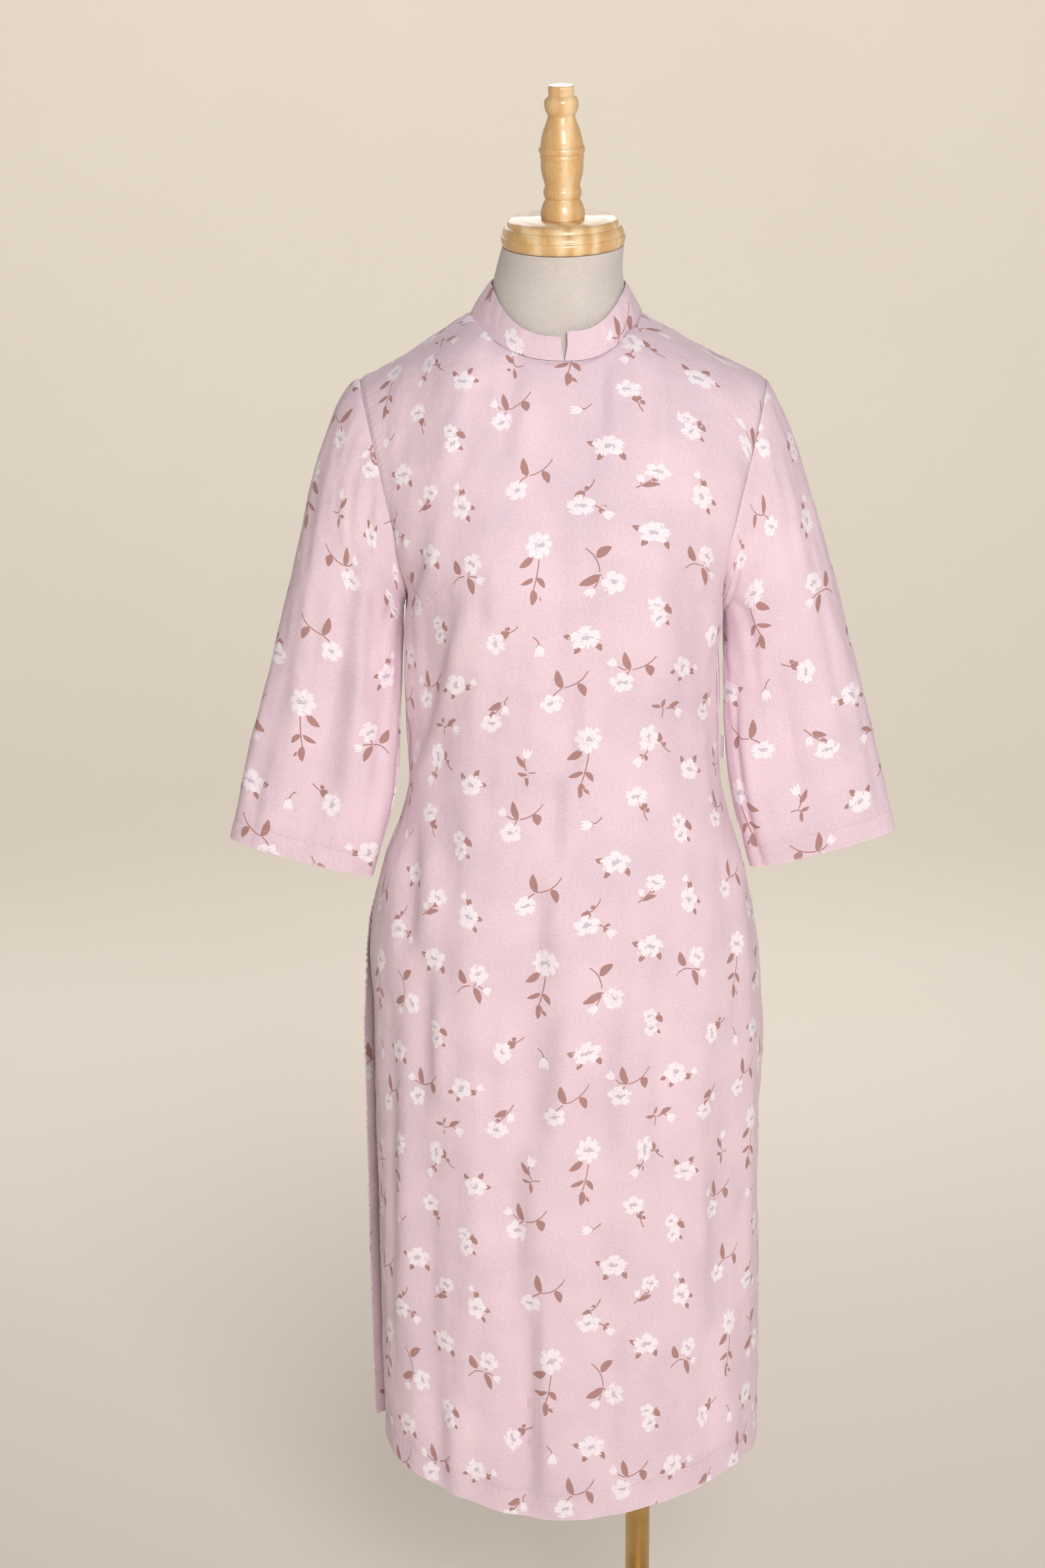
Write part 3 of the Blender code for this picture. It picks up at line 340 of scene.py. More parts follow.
def bust(x, z):
    across = (np.abs(x) - BUST_X) / BUST_WIDTH
    up = (z - BUST_Z) / BUST_HEIGHT
    return BUST * np.exp(-(across**2) - up**2)


def bodice(front, j, phi):
    """A point of the bodice. j runs across it from -1 to 1, and phi down it, from 0 on the
    shoulder to pi at the underarm."""
    ring = FRONT_RINGS[0]
    down = (1 - np.cos(phi)) / 2
    edge_z = mix(SHOULDER_TIP, UNDERARM, down)
    share = mix(top_share(j), even_share(j, ring.square), smooth(down * 1.4))
    ahead = squircle(share, ring.square)
    top_x = SHOULDER_HALF * top_share(j)
    along_shoulder = (SHOULDER_HALF - np.abs(top_x)) / (SHOULDER_HALF - NECK_HALF)
    moved = aside(top_x / NECK_HALF, NECK_SHIFT) * smooth(along_shoulder) * (1 - smooth(down * 2.5))
    x = armhole_half(edge_z) * share + moved

    across_neck = np.clip(np.abs(top_x) / NECK_HALF, 0, 1)
    neck_z, neck_y = neckline(across_neck, front)
    low_y = mix(ring.side, ring.front if front else ring.back, ahead)
    z = mix(np.where(across_neck < 1, neck_z, shoulder_line(top_x)), UNDERARM, down)

    roll = 2 * np.sqrt(down) - down
    slope = 1 - (1 - down) ** 1.7
    y = mix(neck_y, low_y, mix(slope, roll, across_neck**2))
    if front:
        y = y - ARMHOLE_FRONT * (1 - ahead) ** 2 * np.sin(phi)
        y = y - bust(x, z) * smooth(down * 2)
    else:
        y = y + ARMHOLE_BACK * (1 - ahead) ** 2 * np.sin(phi)
        y = y + BLADES * ahead * np.sin(phi) ** 2
    return np.stack([x, y, z], -1)


def skirt(front, j, z):
    """A point of the rings below the underarm."""
    square = curve(FRONT_RINGS, "square", z)
    share = even_share(j, square)
    ahead = squircle(share, square)
    right, left = curve(FRONT_RINGS, "right", z), curve(FRONT_RINGS, "left", z)
    side = curve(FRONT_RINGS, "side", z)
    free = smooth((SLIT_TOP - z) / 0.10)
    if front:
        half = np.where(j > 0, right, left)
        y = mix(side, curve(FRONT_RINGS, "front", z), ahead)
        y = y - bust(half * share, z)
    else:
        flare = BACK_FLARE * smooth((SLIT_TOP - z) / 0.20) * np.clip(1 - ahead / 0.25, 0, 1) ** 2
        half = np.where(j > 0, right + BACK_RIGHT_SHIFT * free, left + flare)
        y = mix(side + BACK_APART * free, curve(FRONT_RINGS, "back", z), ahead)
    return np.stack([half * share, y, z + 0 * j], -1)


def hem_height(front, j):
    share = np.abs(even_share(j, FRONT_RINGS[-1].square))
    return HEM_MIDDLE + (HEM_RISE if front else BACK_HEM_RISE) * share**1.8


def panel(front, across, bodice_rows, skirt_rows):
    """Outer points of a whole panel, shoulder to hem, as rows of columns."""
    rows = [bodice(front, across, phi) for phi in np.linspace(0, np.pi, bodice_rows + 1)]
    for down in np.linspace(0, 1, skirt_rows + 1)[1:]:
        rows.append(skirt(front, across, mix(UNDERARM, hem_height(front, across), down)))
    return np.array(rows)


def armhole(side, psi):
    """The armhole's loop: psi 0 is the shoulder tip, a quarter turn the front of it and a
    half turn the underarm."""
    ahead = np.sin(psi) >= -1e-9
    phi = np.where(ahead, psi, 2 * np.pi - psi)
    j = np.full_like(psi, float(side))
    return np.where(ahead[:, None], bodice(True, j, phi), bodice(False, j, phi))


def armhole_normal(side, psi):
    """Which way the cloth faces where bodice and sleeve meet, the same for both."""
    return unit(np.stack([0.5 * side + 0 * psi, -np.sin(psi), np.cos(psi)], -1))


def sleeve_ring(side, psi, down):
    """A ring of the sleeve below the armhole, down from 0 at the biceps to 1 at the hem."""
    at = np.linspace(0, 1, len(SLEEVE_RINGS))
    found = {}
    for name in Cuff._fields:
        rows = [Step(a, getattr(ring, name)) for a, ring in zip(at, SLEEVE_RINGS)]
        found[name] = float(curve(rows, "value", down))
    lift = SLEEVE_LIFT[side] * down
    inner = np.array([side * found["inner_x"], found["y"], found["inner_z"] + lift])
    outer = np.array([side * found["outer_x"], found["y"], found["outer_z"] + lift])
    points = (inner + outer) / 2 + np.cos(psi)[:, None] * (outer - inner) / 2
    points[:, 1] -= np.sin(psi) * found["half_depth"]
    return points


def sleeve(side, psi, cap_steps, rows):
    """Outer points of a sleeve: rings from the armhole to the hem."""
    top, biceps = armhole(side, psi), sleeve_ring(side, psi, 0.0)
    out = np.array([0.76 * side, 0, 0.65])
    rings = []
    for step in cap_steps:
        over = CAP_FULLNESS[side] * math.sin(math.pi * step**0.6) * np.cos(psi / 2) ** 2
        rings.append(mix(top, biceps, step) + over[:, None] * out)
    for down in np.linspace(0, 1, rows + 1):
        rings.append(sleeve_ring(side, psi, down))
    rings[0] = rings[0] + SEAM * np.array([side, 0, 0])
    return np.array(rings)


def collar_point(turn, up, side):
    """A point of the collar: turn 0 at the middle front and pi at the middle back, up 0 to 1."""
    share, ahead = np.abs(np.sin(turn)), np.cos(turn)
    front_z, front_y = neckline(share, True)
    back_z, back_y = neckline(share, False)
    z0, y0 = np.where(ahead > 0, front_z, back_z), np.where(ahead > 0, front_y, back_y)
    x0, x1 = NECK_HALF * share, COLLAR_TOP_HALF * share
    reach = np.where(ahead > 0, COLLAR_TOP_FRONT, COLLAR_TOP_BACK)
    y1 = mix(COLLAR_TOP_Y, reach, np.abs(ahead))
    height = mix(COLLAR_HEIGHT, COLLAR_FRONT_HEIGHT[side], smooth(ahead))
    lean = np.hypot(x1 - x0, y1 - y0)
    z1 = z0 + np.sqrt(np.clip(height**2 - lean**2, 1e-6, None))
    x = side * mix(x0, x1, up) + aside(share, mix(NECK_SHIFT, COLLAR_SHIFT, up))
    return np.stack([x, mix(y0, y1, up), mix(z0 + SEAM, z1, up)], -1)


# ------------------------------------------------------------------ finer creases
# Small folds that the solids leave out, in the front view, as Fold rows.
FRONT_CREASES = (
    Fold(-0.136, 1.176, -0.133, 1.120, 0.0060, 0.0020),
    Fold(0.148, 1.120, 0.139, 0.960, 0.0090, 0.0026, 0.003),
    Fold(-0.084, 1.200, -0.090, 0.820, 0.0150, -0.0042),
    Fold(-0.090, 0.560, -0.104, 0.230, 0.0110, -0.0030, 0.002),
    Fold(0.104, 0.520, 0.100, 0.220, 0.0120, -0.0022, -0.002),
    Fold(0.050, 1.080, 0.062, 0.880, 0.0130, 0.0018, -0.003),
    Fold(-0.135, 0.640, -0.132, 0.240, 0.0090, 0.0030, 0.002),
    Fold(0.160, 0.980, 0.166, 0.760, 0.0090, 0.0022),
)
# Slopes that face the wearer's right where the depth is above zero: a trough on that side of
# the line and a ridge on the other.
FRONT_SLOPES = (
    Fold(-0.089, 1.187, -0.153, 0.955, 0.0100, 0.0063),
    Fold(-0.124, 1.222, -0.147, 1.127, 0.0075, 0.0042),
    Fold(-0.071, 1.370, -0.071, 1.290, 0.0060, 0.0028),
    Fold(-0.038, 1.388, -0.055, 1.280, 0.0100, 0.0035),
    Fold(0.040, 1.384, 0.041, 1.300, 0.0055, 0.0028),
    Fold(0.083, 1.380, 0.087, 1.290, 0.0060, 0.0025),
    Fold(-0.084, 1.374, -0.106, 1.260, 0.0080, -0.0032),
    Fold(-0.071, 1.210, -0.070, 1.120, 0.0060, 0.0022),
    Fold(0.120, 1.204, 0.140, 1.090, 0.0100, 0.0037),
    Fold(0.013, 1.110, 0.013, 0.970, 0.0080, 0.0038),
    Fold(-0.001, 1.020, -0.003, 0.890, 0.0070, 0.0038),
    Fold(-0.132, 0.950, -0.144, 0.800, 0.0090, 0.0049),
    Fold(-0.014, 0.900, -0.018, 0.790, 0.0100, 0.0038),
    Fold(-0.046, 0.653, -0.033, 0.487, 0.0150, 0.0041),
    Fold(-0.026, 0.500, -0.023, 0.231, 0.0085, 0.0064),
    Fold(0.125, 0.620, 0.130, 0.480, 0.0080, 0.0046),
    Fold(0.143, 0.470, 0.162, 0.270, 0.0120, 0.0043),
    Fold(-0.126, 0.820, -0.126, 0.640, 0.0080, 0.0049),
    Fold(-0.117, 0.380, -0.115, 0.240, 0.0080, 0.0049),
    Fold(-0.064, 0.800, -0.066, 0.560, 0.0070, 0.0023),
    Fold(0.050, 0.760, 0.052, 0.600, 0.0070, 0.0020),
    Fold(0.062, 0.480, 0.056, 0.260, 0.0090, 0.0029),
    Fold(0.090, 0.440, 0.096, 0.250, 0.0080, -0.0026),
    Fold(0.006, 0.800, -0.034, 0.560, 0.0130, 0.0040),
    Fold(-0.034, 0.600, -0.048, 0.420, 0.0110, 0.0032),
    Fold(-0.161, 0.820, -0.163, 0.300, 0.0070, 0.0024),
)
BACK_CREASES = (
    Fold(-0.020, 1.100, -0.026, 0.640, 0.0120, 0.0024, 0.003),
    Fold(0.028, 1.080, 0.020, 0.560, 0.0130, -0.0024, -0.003),
    Fold(-0.090, 0.820, -0.086, 0.230, 0.0130, -0.0028, 0.002),
    Fold(0.086, 0.860, 0.092, 0.230, 0.0120, 0.0026, 0.002),
    Fold(-0.140, 1.060, -0.120, 0.900, 0.0100, 0.0024, 0.002),
    Fold(0.142, 1.060, 0.120, 0.900, 0.0100, 0.0024, -0.002),
    Fold(0.150, 0.760, 0.154, 0.260, 0.0110, -0.0026, 0.002),
)
SLEEVE_CREASES = {
    1: (
        SleeveFold(150, -0.20, 120, 0.16, 9, 0.0024),
        SleeveFold(98, 0.30, 96, 1.00, 9, 0.0034),
        SleeveFold(84, 0.24, 80, 1.00, 9, -0.0022),
        SleeveFold(126, 0.00, 122, 0.46, 8, 0.0030),
        SleeveFold(114, 0.44, 112, 1.05, 7, -0.0026),
        SleeveFold(150, 0.16, 146, 1.10, 5, 0.0032),
        SleeveFold(138, 0.20, 134, 1.10, 8, -0.0022),
        SleeveFold(44, 0.05, 48, 0.70, 12, 0.0024),
        SleeveFold(64, 0.40, 60, 1.08, 10, -0.0016),
        SleeveFold(210, -0.20, 236, 0.30, 10, 0.0022),
        SleeveFold(300, 0.10, 306, 0.90, 12, -0.0020),
    ),
    -1: (
        SleeveFold(150, -0.16, 128, 0.20, 9, 0.0024),
        SleeveFold(106, -0.40, 114, 0.90, 8, -0.0044),
        SleeveFold(90, -0.36, 95, 0.86, 9, 0.0038),
        SleeveFold(134, 0.10, 140, 0.95, 9, 0.0026),
        SleeveFold(66, 0.10, 62, 1.05, 11, -0.0022),
        SleeveFold(44, 0.10, 40, 0.90, 10, 0.0018),
        SleeveFold(160, 0.30, 164, 1.05, 8, -0.0016),
        SleeveFold(212, -0.20, 232, 0.30, 10, 0.0022),
        SleeveFold(304, 0.10, 300, 0.95, 12, -0.0020),
    ),
}
# Long slow waves of washed cloth: cycles a metre across and up, phase and height.
Wave = namedtuple("Wave", "across up phase height")
WAVES = (
    Wave(7.0, 1.6, 0.4, 0.00070),
    Wave(-11.0, 3.1, 1.9, 0.00050),
    Wave(15.5, 5.2, 3.0, 0.00034),
    Wave(4.0, 9.3, 5.1, 0.00040),
    Wave(-22.0, 8.0, 2.2, 0.00024),
    Wave(31.0, -17.0, 0.9, 0.00014),
    Wave(12.0, 27.0, 4.0, 0.00016),
    Wave(-41.0, 23.0, 5.7, 0.00010),
    Wave(24.0, 1.5, 0.7, 0.00046),
    Wave(-37.0, 2.4, 2.6, 0.00028),
    Wave(55.0, 3.1, 4.4, 0.00013),
)
CREASE_END = 0.35  # the share of a crease over which each of its ends fades
WAVES_APART = 0.31  # between the front's place in the waves and the back's
# The slit edges' ripples, and the lengths over which their pitch and height come and go.
RIPPLE_PITCH, RIPPLE_WANDER, RIPPLE_SWELL = 0.0082, 0.047, 0.083
RIPPLE_HEIGHT = 0.0009
RIPPLE_REACH = 0.0070  # inwards from the edge
# Stitch lines, from the edge that is turned in, and the groove that is pressed at each.
HEM_FOLD, SLIT_FOLD, CUFF_FOLD = 0.027, 0.010, 0.020
PRESSED, PRESSED_WIDTH = 0.0005, 0.0016
# Down to this far below the underarm the cloth rests on the form. There its small creases
# only stand in from it, and so never let the form through.
REST_BELOW, REST_FADE = 0.16, 0.09
REST_RAISE, REST_LEAST = 0.0022, 0.0002
SEAM_FLAT = 0.006  # beside a seam, where small creases fade
SIDE_KEPT = 0.12  # the share of a panel beside its side seam that isn't eased at the underarm
NECK_EDGE_RISE = 0.045  # how steeply the cloth faces up at the neck edge
CAP_SHARE = 0.45  # how much of the sleeve's length its cap counts as, for folds
FAR_EDGE = 0.05  # stands for an edge that isn't near

NECK_FINE, SIDE_FINE = 18, 27  # columns from the middle to the neck point, and on to the side
BODICE_FINE, SKIRT_FINE = 60, 392
SLEEVE_TURNS, CAP_FINE, SLEEVE_FINE = 120, 42, 150
COLLAR_ROWS, COLLAR_COLUMNS = 20, 80
COLLAR_BULGE = 0.0006
# Where the middle of each sleeve's biceps line and of the collar's top edge is on the print.
SLEEVE_PRINT = {1: (0.093, 0.052), -1: (0.041, 0.171)}
COLLAR_PRINT = (0.12, 0.235)


def waves(u, v):
    """Height of the slow waves at a place on the cloth."""
    return sum(w.height * np.sin(2 * np.pi * (w.across * u + w.up * v) + w.phase) for w in WAVES)


def creases(folds, x, z, slope=False):
    """Narrow folds or slopes, free to cross the underarm line."""
    push = 0.0
    for fold in folds:
        along, beside = beside_fold(fold, x, z)
        ends = smooth(along / CREASE_END) * smooth((1.0 - along) / CREASE_END)
        share = beside / fold.width
        shape = -share * np.exp(0.5 - 0.5 * share**2) if slope else np.exp(-(share**2))
        push = push + fold.depth * shape * ends
    return push


def fine_columns(first, last):
    """Shares of a panel's half-width for its columns, closer together towards the sides."""
    outer = 1 - (1 - NECK_SHARE) * np.linspace(1, 0, SIDE_FINE + 1) ** 1.5
    half = np.concatenate([np.linspace(0, NECK_SHARE, NECK_FINE + 1), outer[1:]])
    whole = np.concatenate([-half[::-1], half[1:]])
    return whole[(whole >= first) & (whole <= last)]


def facing_of(grid, closed=False):
    """Unit normals of a grid of points, outwards where rows run down and columns run towards
    +X on the front."""
    across = np.gradient(grid, axis=1)
    if closed:
        loop = grid[:, :-1]
        around = np.roll(loop, -1, 1) - np.roll(loop, 1, 1)
        across = np.concatenate([around, around[:, :1]], 1)
    return unit(np.cross(np.gradient(grid, axis=0), across))


def lengths(grid, axis):
    """Distance along a grid's rows (axis 1) or columns (axis 0) from the first point."""
    steps = np.linalg.norm(np.diff(grid, axis=axis), axis=2)
    start = np.zeros((1, grid.shape[1])) if axis == 0 else np.zeros((grid.shape[0], 1))
    return np.concatenate([start, np.cumsum(steps, axis)], axis)


def new_object(name, data):
    obj = bpy.data.objects.new(name, data)
    bpy.context.scene.collection.objects.link(obj)
    return obj


def smooth_mesh(mesh, sharp=40, weld=0):
    """Welds the points that are this close, turns the faces outwards and shades them smooth,
    but for edges sharper than an angle in degrees."""
    bm = bmesh.new()
    bm.from_mesh(mesh)
    if weld:
        bmesh.ops.remove_doubles(bm, verts=bm.verts, dist=weld)
    bmesh.ops.recalc_face_normals(bm, faces=bm.faces)
    if bm.calc_volume(signed=True) < 0:
        bmesh.ops.reverse_faces(bm, faces=bm.faces)
    bm.to_mesh(mesh)
    bm.free()
    mesh.shade_smooth()
    mesh.set_sharp_from_angle(angle=math.radians(sharp))


# A piece's outer side and normals, and at each point its place on the cut cloth and its
# distance from the side edge and the hem.
Cut = namedtuple("Cut", "grid normals cloth borders")


def shell(name, cut, cloths, closed=False):
    """A thin wall of cloth whose outer side is the cut's grid."""
    rows, across = cut.grid.shape[:2]
    facing = cut.normals.reshape(-1, 3)
    outer = (cut.grid + FORM_MIDDLE).reshape(-1, 3)
    inner = outer - WALL * facing
    count = len(outer)
    r, c = np.meshgrid(np.arange(rows - 1), np.arange(across - 1), indexing="ij")
    a = (r * across + c).reshape(-1)
    quads = np.stack([a, a + across, a + across + 1, a + 1], -1)
    first = outer[quads[0]]
    way = np.cross(first[1] - first[0], first[3] - first[0]) @ facing[0]
    lines = [np.arange(across), (rows - 1) * across + np.arange(across)]
    if not closed:
        lines += [np.arange(rows) * across, np.arange(rows) * across + across - 1]
    rims = []
    for line in lines:
        p, q = line[:-1], line[1:]
        rims.append(np.stack([p, q, q + count, p + count], -1))
    outside = quads if way > 0 else quads[:, ::-1]
    faces = np.concatenate([outside, outside[:, ::-1] + count] + rims)
    mesh = bpy.data.meshes.new(name)
    mesh.from_pydata(np.concatenate([outer, inner]).tolist(), [], faces.tolist())
    for cloth in cloths:
        mesh.materials.append(cloth)
    inner_side = np.zeros(len(faces), np.int32)
    inner_side[len(quads) : 2 * len(quads)] = 1
    mesh.polygons.foreach_set("material_index", inner_side)
    corners = faces.reshape(-1) % count
    for label, values in (("Cloth", cut.cloth), ("Borders", cut.borders)):
        layer = mesh.uv_layers.new(name=label)
        layer.data.foreach_set("uv", values.reshape(-1, 2)[corners].astype(np.float32).reshape(-1))
    smooth_mesh(mesh, 62, weld=1e-6 if closed else 0)
    return new_object(name, mesh)


# ------------------------------------------------------------------ cutting the cloth
def groove(distance):
    """The dip along a pressed stitch line, from 0 to 1, at a distance from it."""
    return np.exp(-((distance / PRESSED_WIDTH) ** 2))


def ripples(v, front, side):
    """The waver of a slit's edge at a height on the cloth."""
    wander = 2.2 * np.sin(2 * np.pi * v / RIPPLE_WANDER) + (0 if front else 2)
    swell = 0.55 + 0.45 * np.sin(2 * np.pi * v / RIPPLE_SWELL + side + 1)
    return RIPPLE_HEIGHT * np.sin(2 * np.pi * v / RIPPLE_PITCH + wander) * swell


def panel_relief(front, side, places, cloth, borders):
    """How far each point of a panel is pushed in by its folds, creases and pressed edges."""
    x, z = places[..., 0], places[..., 2]
    (u, v), (to_side, to_hem) = cloth, borders
    push = fold_field(FRONT_FOLDS if front else BACK_FOLDS, x, z)
    small = creases(FRONT_CREASES if front else BACK_CREASES, x, z)
    small = small + waves(u + WAVES_APART * front, v)
    if front:
        small = small + creases(FRONT_SLOPES, x, z, slope=True)
    on_form = smooth((z - UNDERARM + REST_BELOW) / REST_FADE)
    small = mix(small, np.minimum(small - REST_RAISE, -REST_LEAST), on_form)
    off_seam = smooth(to_side / SEAM_FLAT) * smooth((v[:1] - v) / SEAM_FLAT)
    push = push + small * mix(1.0, off_seam, smooth((z - SLIT_TOP) / 0.02))
    free = smooth((SLIT_TOP - z) / 0.03)
    push = push + ripples(v, front, side) * np.exp(-to_side / RIPPLE_REACH) * free
    pressed = groove(to_hem - HEM_FOLD) + free * groove(to_side - SLIT_FOLD)
    return push + PRESSED * np.clip(pressed, 0, 1)


def fine_panel(front, side=0):
    """One panel: the front, or the back's half on a side."""
    outwards = 1 if front else -1
    edges = {0: ((0, -1), (-1, 1)), -1: ((0, -1),), 1: ((-1, 1),)}[side]
    across = fine_columns(-1, 1) if side == 0 else fine_columns(min(side, 0), max(side, 0))
    grid = panel(front, across, BODICE_FINE, SKIRT_FINE)
    off_side = smooth((1 - np.abs(across)) / SIDE_KEPT)[None, :, None]
    grid = mix(grid, smoothed(grid, BODICE_FINE), off_side)
    grid = past_neck(grid, across)
    middle = int(np.argmin(np.abs(across)))
    u = lengths(grid, 1)
    u = u - u[:, middle : middle + 1]
    v = -lengths(grid, 0)
    v = v - v[BODICE_FINE : BODICE_FINE + 1]
    to_edges = [np.abs(u - u[:, edge, None]) for edge, _ in edges]
    borders = (np.min(to_edges, axis=0), v - v[-1:])
    push = panel_relief(front, side, grid, (u, v), borders)
    grid = grid - push[..., None] * outwards * facing_of(grid)

    normals = seam_normals(across, grid, outwards * facing_of(grid), front, edges)
    if side:
        inner = -1 if side < 0 else 0
        normals[:, inner, 0] = 0
        normals = unit(normals)
        bottom = NECK_POINT + NECK_BACK_RISE - BACK_SLIT
        opened = smooth((grid[:, inner, 2] - bottom) / 0.03)
        grid[:, inner, 0] = side * (SEAM / 2 + BACK_SLIT_GAP / 2 * opened)
    for edge, way in edges:
        grid[:, edge, 0] -= way * SEAM / 2
    grid[0, :, 2] -= SEAM / 2
    cloth = draped(u, v) if front else (u, v)
    return Cut(grid, normals, np.stack(cloth, -1), np.stack(borders, -1))


def seam_normals(across, grid, normals, front, sides):
    """Turns the normals along a panel's seams to the ones that the next piece uses too."""
    x, y = grid[0, :, 0], grid[0, :, 1]
    slope = (NECK_POINT - SHOULDER_TIP) / (SHOULDER_HALF - NECK_HALF)
    ridge = np.stack([slope * np.sign(x), 0 * x, 1 + 0 * x], -1)
    toward = np.stack([x + NECK_SHIFT, y - NECK_POINT_Y, NECK_EDGE_RISE + 0 * x], -1)
    normals[0] = unit(np.where((np.abs(across) < NECK_SHARE - 1e-6)[:, None], toward, ridge))
    phis = np.linspace(0, np.pi, BODICE_FINE + 1)
    psi = phis if front else 2 * np.pi - phis
    for column, side in sides:
        normals[: BODICE_FINE + 1, column] = armhole_normal(side, psi)
        normals[BODICE_FINE + 1 :, column, 1] = 0
    return unit(normals)


def past_neck(grid, across):
    """A panel's grid with no crease running down from its neck points."""
    below = smooth(np.arange(len(grid)) / 6)[:, None, None]
    for column in np.flatnonzero(np.abs(np.abs(across) - NECK_SHARE) < 1e-6):
        eased = smoothed(grid.swapaxes(0, 1), column, 9, 9).swapaxes(0, 1)
        grid = mix(grid, eased, below)
    return grid


def fine_sleeve(side):
    psi = np.linspace(-np.pi, np.pi, SLEEVE_TURNS + 1)
    steps = np.linspace(0, 1, CAP_FINE + 1)[:-1] ** 1.3
    grid = sleeve(side, np.mod(psi, 2 * np.pi), steps, SLEEVE_FINE)
    grid = np.concatenate([grid[:1], smoothed(grid, CAP_FINE)[1:]])
    facing = -side * facing_of(grid, closed=True)
    turn = np.degrees(np.mod(psi, 2 * np.pi))[None, :]
    down = (np.arange(len(grid)) - CAP_FINE)[:, None] / SLEEVE_FINE
    down = np.where(down < 0, down * SLEEVE_FINE / CAP_FINE * CAP_SHARE, down)
    push = 0.0
    for fold in SLEEVE_FOLDS[side] + SLEEVE_CREASES[side]:
        along = (down - fold.down0) / (fold.down1 - fold.down0)
        beside = turn - mix(fold.turn0, fold.turn1, np.clip(along, 0, 1))
        ends = smooth(along / 0.35) * smooth((1 - along) / 0.30 + 0.2)
        push = push + fold.depth * np.exp(-((beside / fold.width) ** 2)) * ends
    u = lengths(grid, 1)
    middle = SLEEVE_TURNS // 2
    u = (u - u[:, middle : middle + 1]) * side
    v = -lengths(grid, 0)
    v = v - v[CAP_FINE : CAP_FINE + 1]
    to_hem = v - v[-1:]
    from_seam = v[:1] - v
    push = push + waves(u * 1.4 + 0.7 * side, v * 0.8) * smooth(from_seam / 0.02)
    push = push + PRESSED * groove(to_hem - CUFF_FOLD)
    push = push * smooth(from_seam / 0.004)
    grid = grid - push[..., None] * facing
    grid[:, -1] = grid[:, 0]
    normals = -side * facing_of(grid, closed=True)
    normals[0] = armhole_normal(side, np.mod(psi, 2 * np.pi))
    cloth = np.stack([u, v], -1) + np.array(SLEEVE_PRINT[side])
    return Cut(grid, normals, cloth, np.stack([FAR_EDGE + 0 * u, to_hem], -1))


def smoothed(grid, row, before=30, after=40):
    """The grid with its rows near the given one eased, so that one shape runs into the next."""
    eased = grid.copy()
    first, last = max(row - before, 1), row + after
    for _ in range(30):
        wide = eased[first - 1 : last - 1] + eased[first + 1 : last + 1]
        eased[first:last] = eased[first:last] * 0.5 + wide * 0.25
    return eased


def fine_collar(side):
    rows = []
    ups = np.linspace(1, 0, COLLAR_ROWS + 1)
    for up in ups:
        turns = np.linspace(0, np.pi, COLLAR_COLUMNS + 1)
        turns[0] = mix(SEAM, COLLAR_NOTCH[side], up) / COLLAR_TOP_HALF
        turns[-1] = np.pi - BACK_SLIT_GAP / 2 / COLLAR_TOP_HALF
        rows.append(collar_point(turns, up, side))
    grid = np.array(rows)
    normals = facing_of(grid) * side
    u = lengths(grid, 1) * side
    v = -lengths(grid, 0)
    bulge = COLLAR_BULGE * np.sin(np.pi * ups)[:, None]
    grid = grid + (bulge + waves(u * 2, v * 2) * 0.4)[..., None] * normals
    cloth = np.stack([u, v], -1) + np.array(COLLAR_PRINT)
    return Cut(grid, normals, cloth, np.full_like(cloth, FAR_EDGE))


# ------------------------------------------------------------------ other shapes
def skin(rows, count, start=0, closed=True, ringlike=False):
    """Faces between rows of count points each. Closed joins each row's ends, and ringlike the
    last row to the first."""
    faces = []
    for r in range(rows if ringlike else rows - 1):
        a, b = start + r * count, start + (r + 1) % rows * count
        for c in range(count if closed else count - 1):
            d = (c + 1) % count
            faces.append((a + c, b + c, b + d, a + d))
    return faces


def ends_of(points, count):
    """The two faces that close a tube whose rows have count points."""
    return [tuple(range(count)), tuple(range(len(points) - count, len(points)))]


def finished(name, points, faces, material, sharp=40, where=None):
    """A piece of one material, from its points and faces, moved to where it belongs."""
    mesh = bpy.data.meshes.new(name)
    mesh.from_pydata(points, [], faces)
    if where is not None:
        mesh.transform(where)
    smooth_mesh(mesh, sharp)
    mesh.materials.append(material)
    return new_object(name, mesh)


def turned(name, profile, sides, material, sharp=40, where=None):
    """A round solid about Z. Its profile is (radius, height) from the bottom up, and one that
    ends where it starts makes a ring."""
    ringlike = tuple(profile[0]) == tuple(profile[-1])
    turns = np.linspace(0, 2 * np.pi, sides, endpoint=False)
    points = []
    for radius, height in profile[: -1 if ringlike else None]:
        points += [(radius * math.cos(t), radius * math.sin(t), height) for t in turns]
    faces = skin(len(points) // sides, sides, ringlike=ringlike)
    if not ringlike:
        faces += ends_of(points, sides)
    return finished(name, points, faces, material, sharp, where)


def rounded(profile, steps=5):
    """A profile with a smooth curve through its points."""
    points = np.array(profile)
    padded = np.concatenate([2 * points[:1] - points[1:2], points, 2 * points[-1:] - points[-2:-1]])
    found = []
    for i in range(1, len(padded) - 2):
        p0, p1, p2, p3 = padded[i - 1 : i + 3]
        for t in np.arange(steps) / steps:
            a = 2 * p1 + (p2 - p0) * t
            b = (2 * p0 - 5 * p1 + 4 * p2 - p3) * t**2
            c = (3 * p1 - p0 - 3 * p2 + p3) * t**3
            found.append(tuple((a + b + c) / 2))
    return found + [tuple(points[-1])]


# ------------------------------------------------------------------ materials
def shade(code):
    """A colour written as six hex digits, as linear red, green, blue and alpha."""
    parts = [int(code[i : i + 2], 16) / 255 for i in (0, 2, 4)]
    return tuple(p / 12.92 if p < 0.04045 else ((p + 0.055) / 1.055) ** 2.4 for p in parts) + (1.0,)


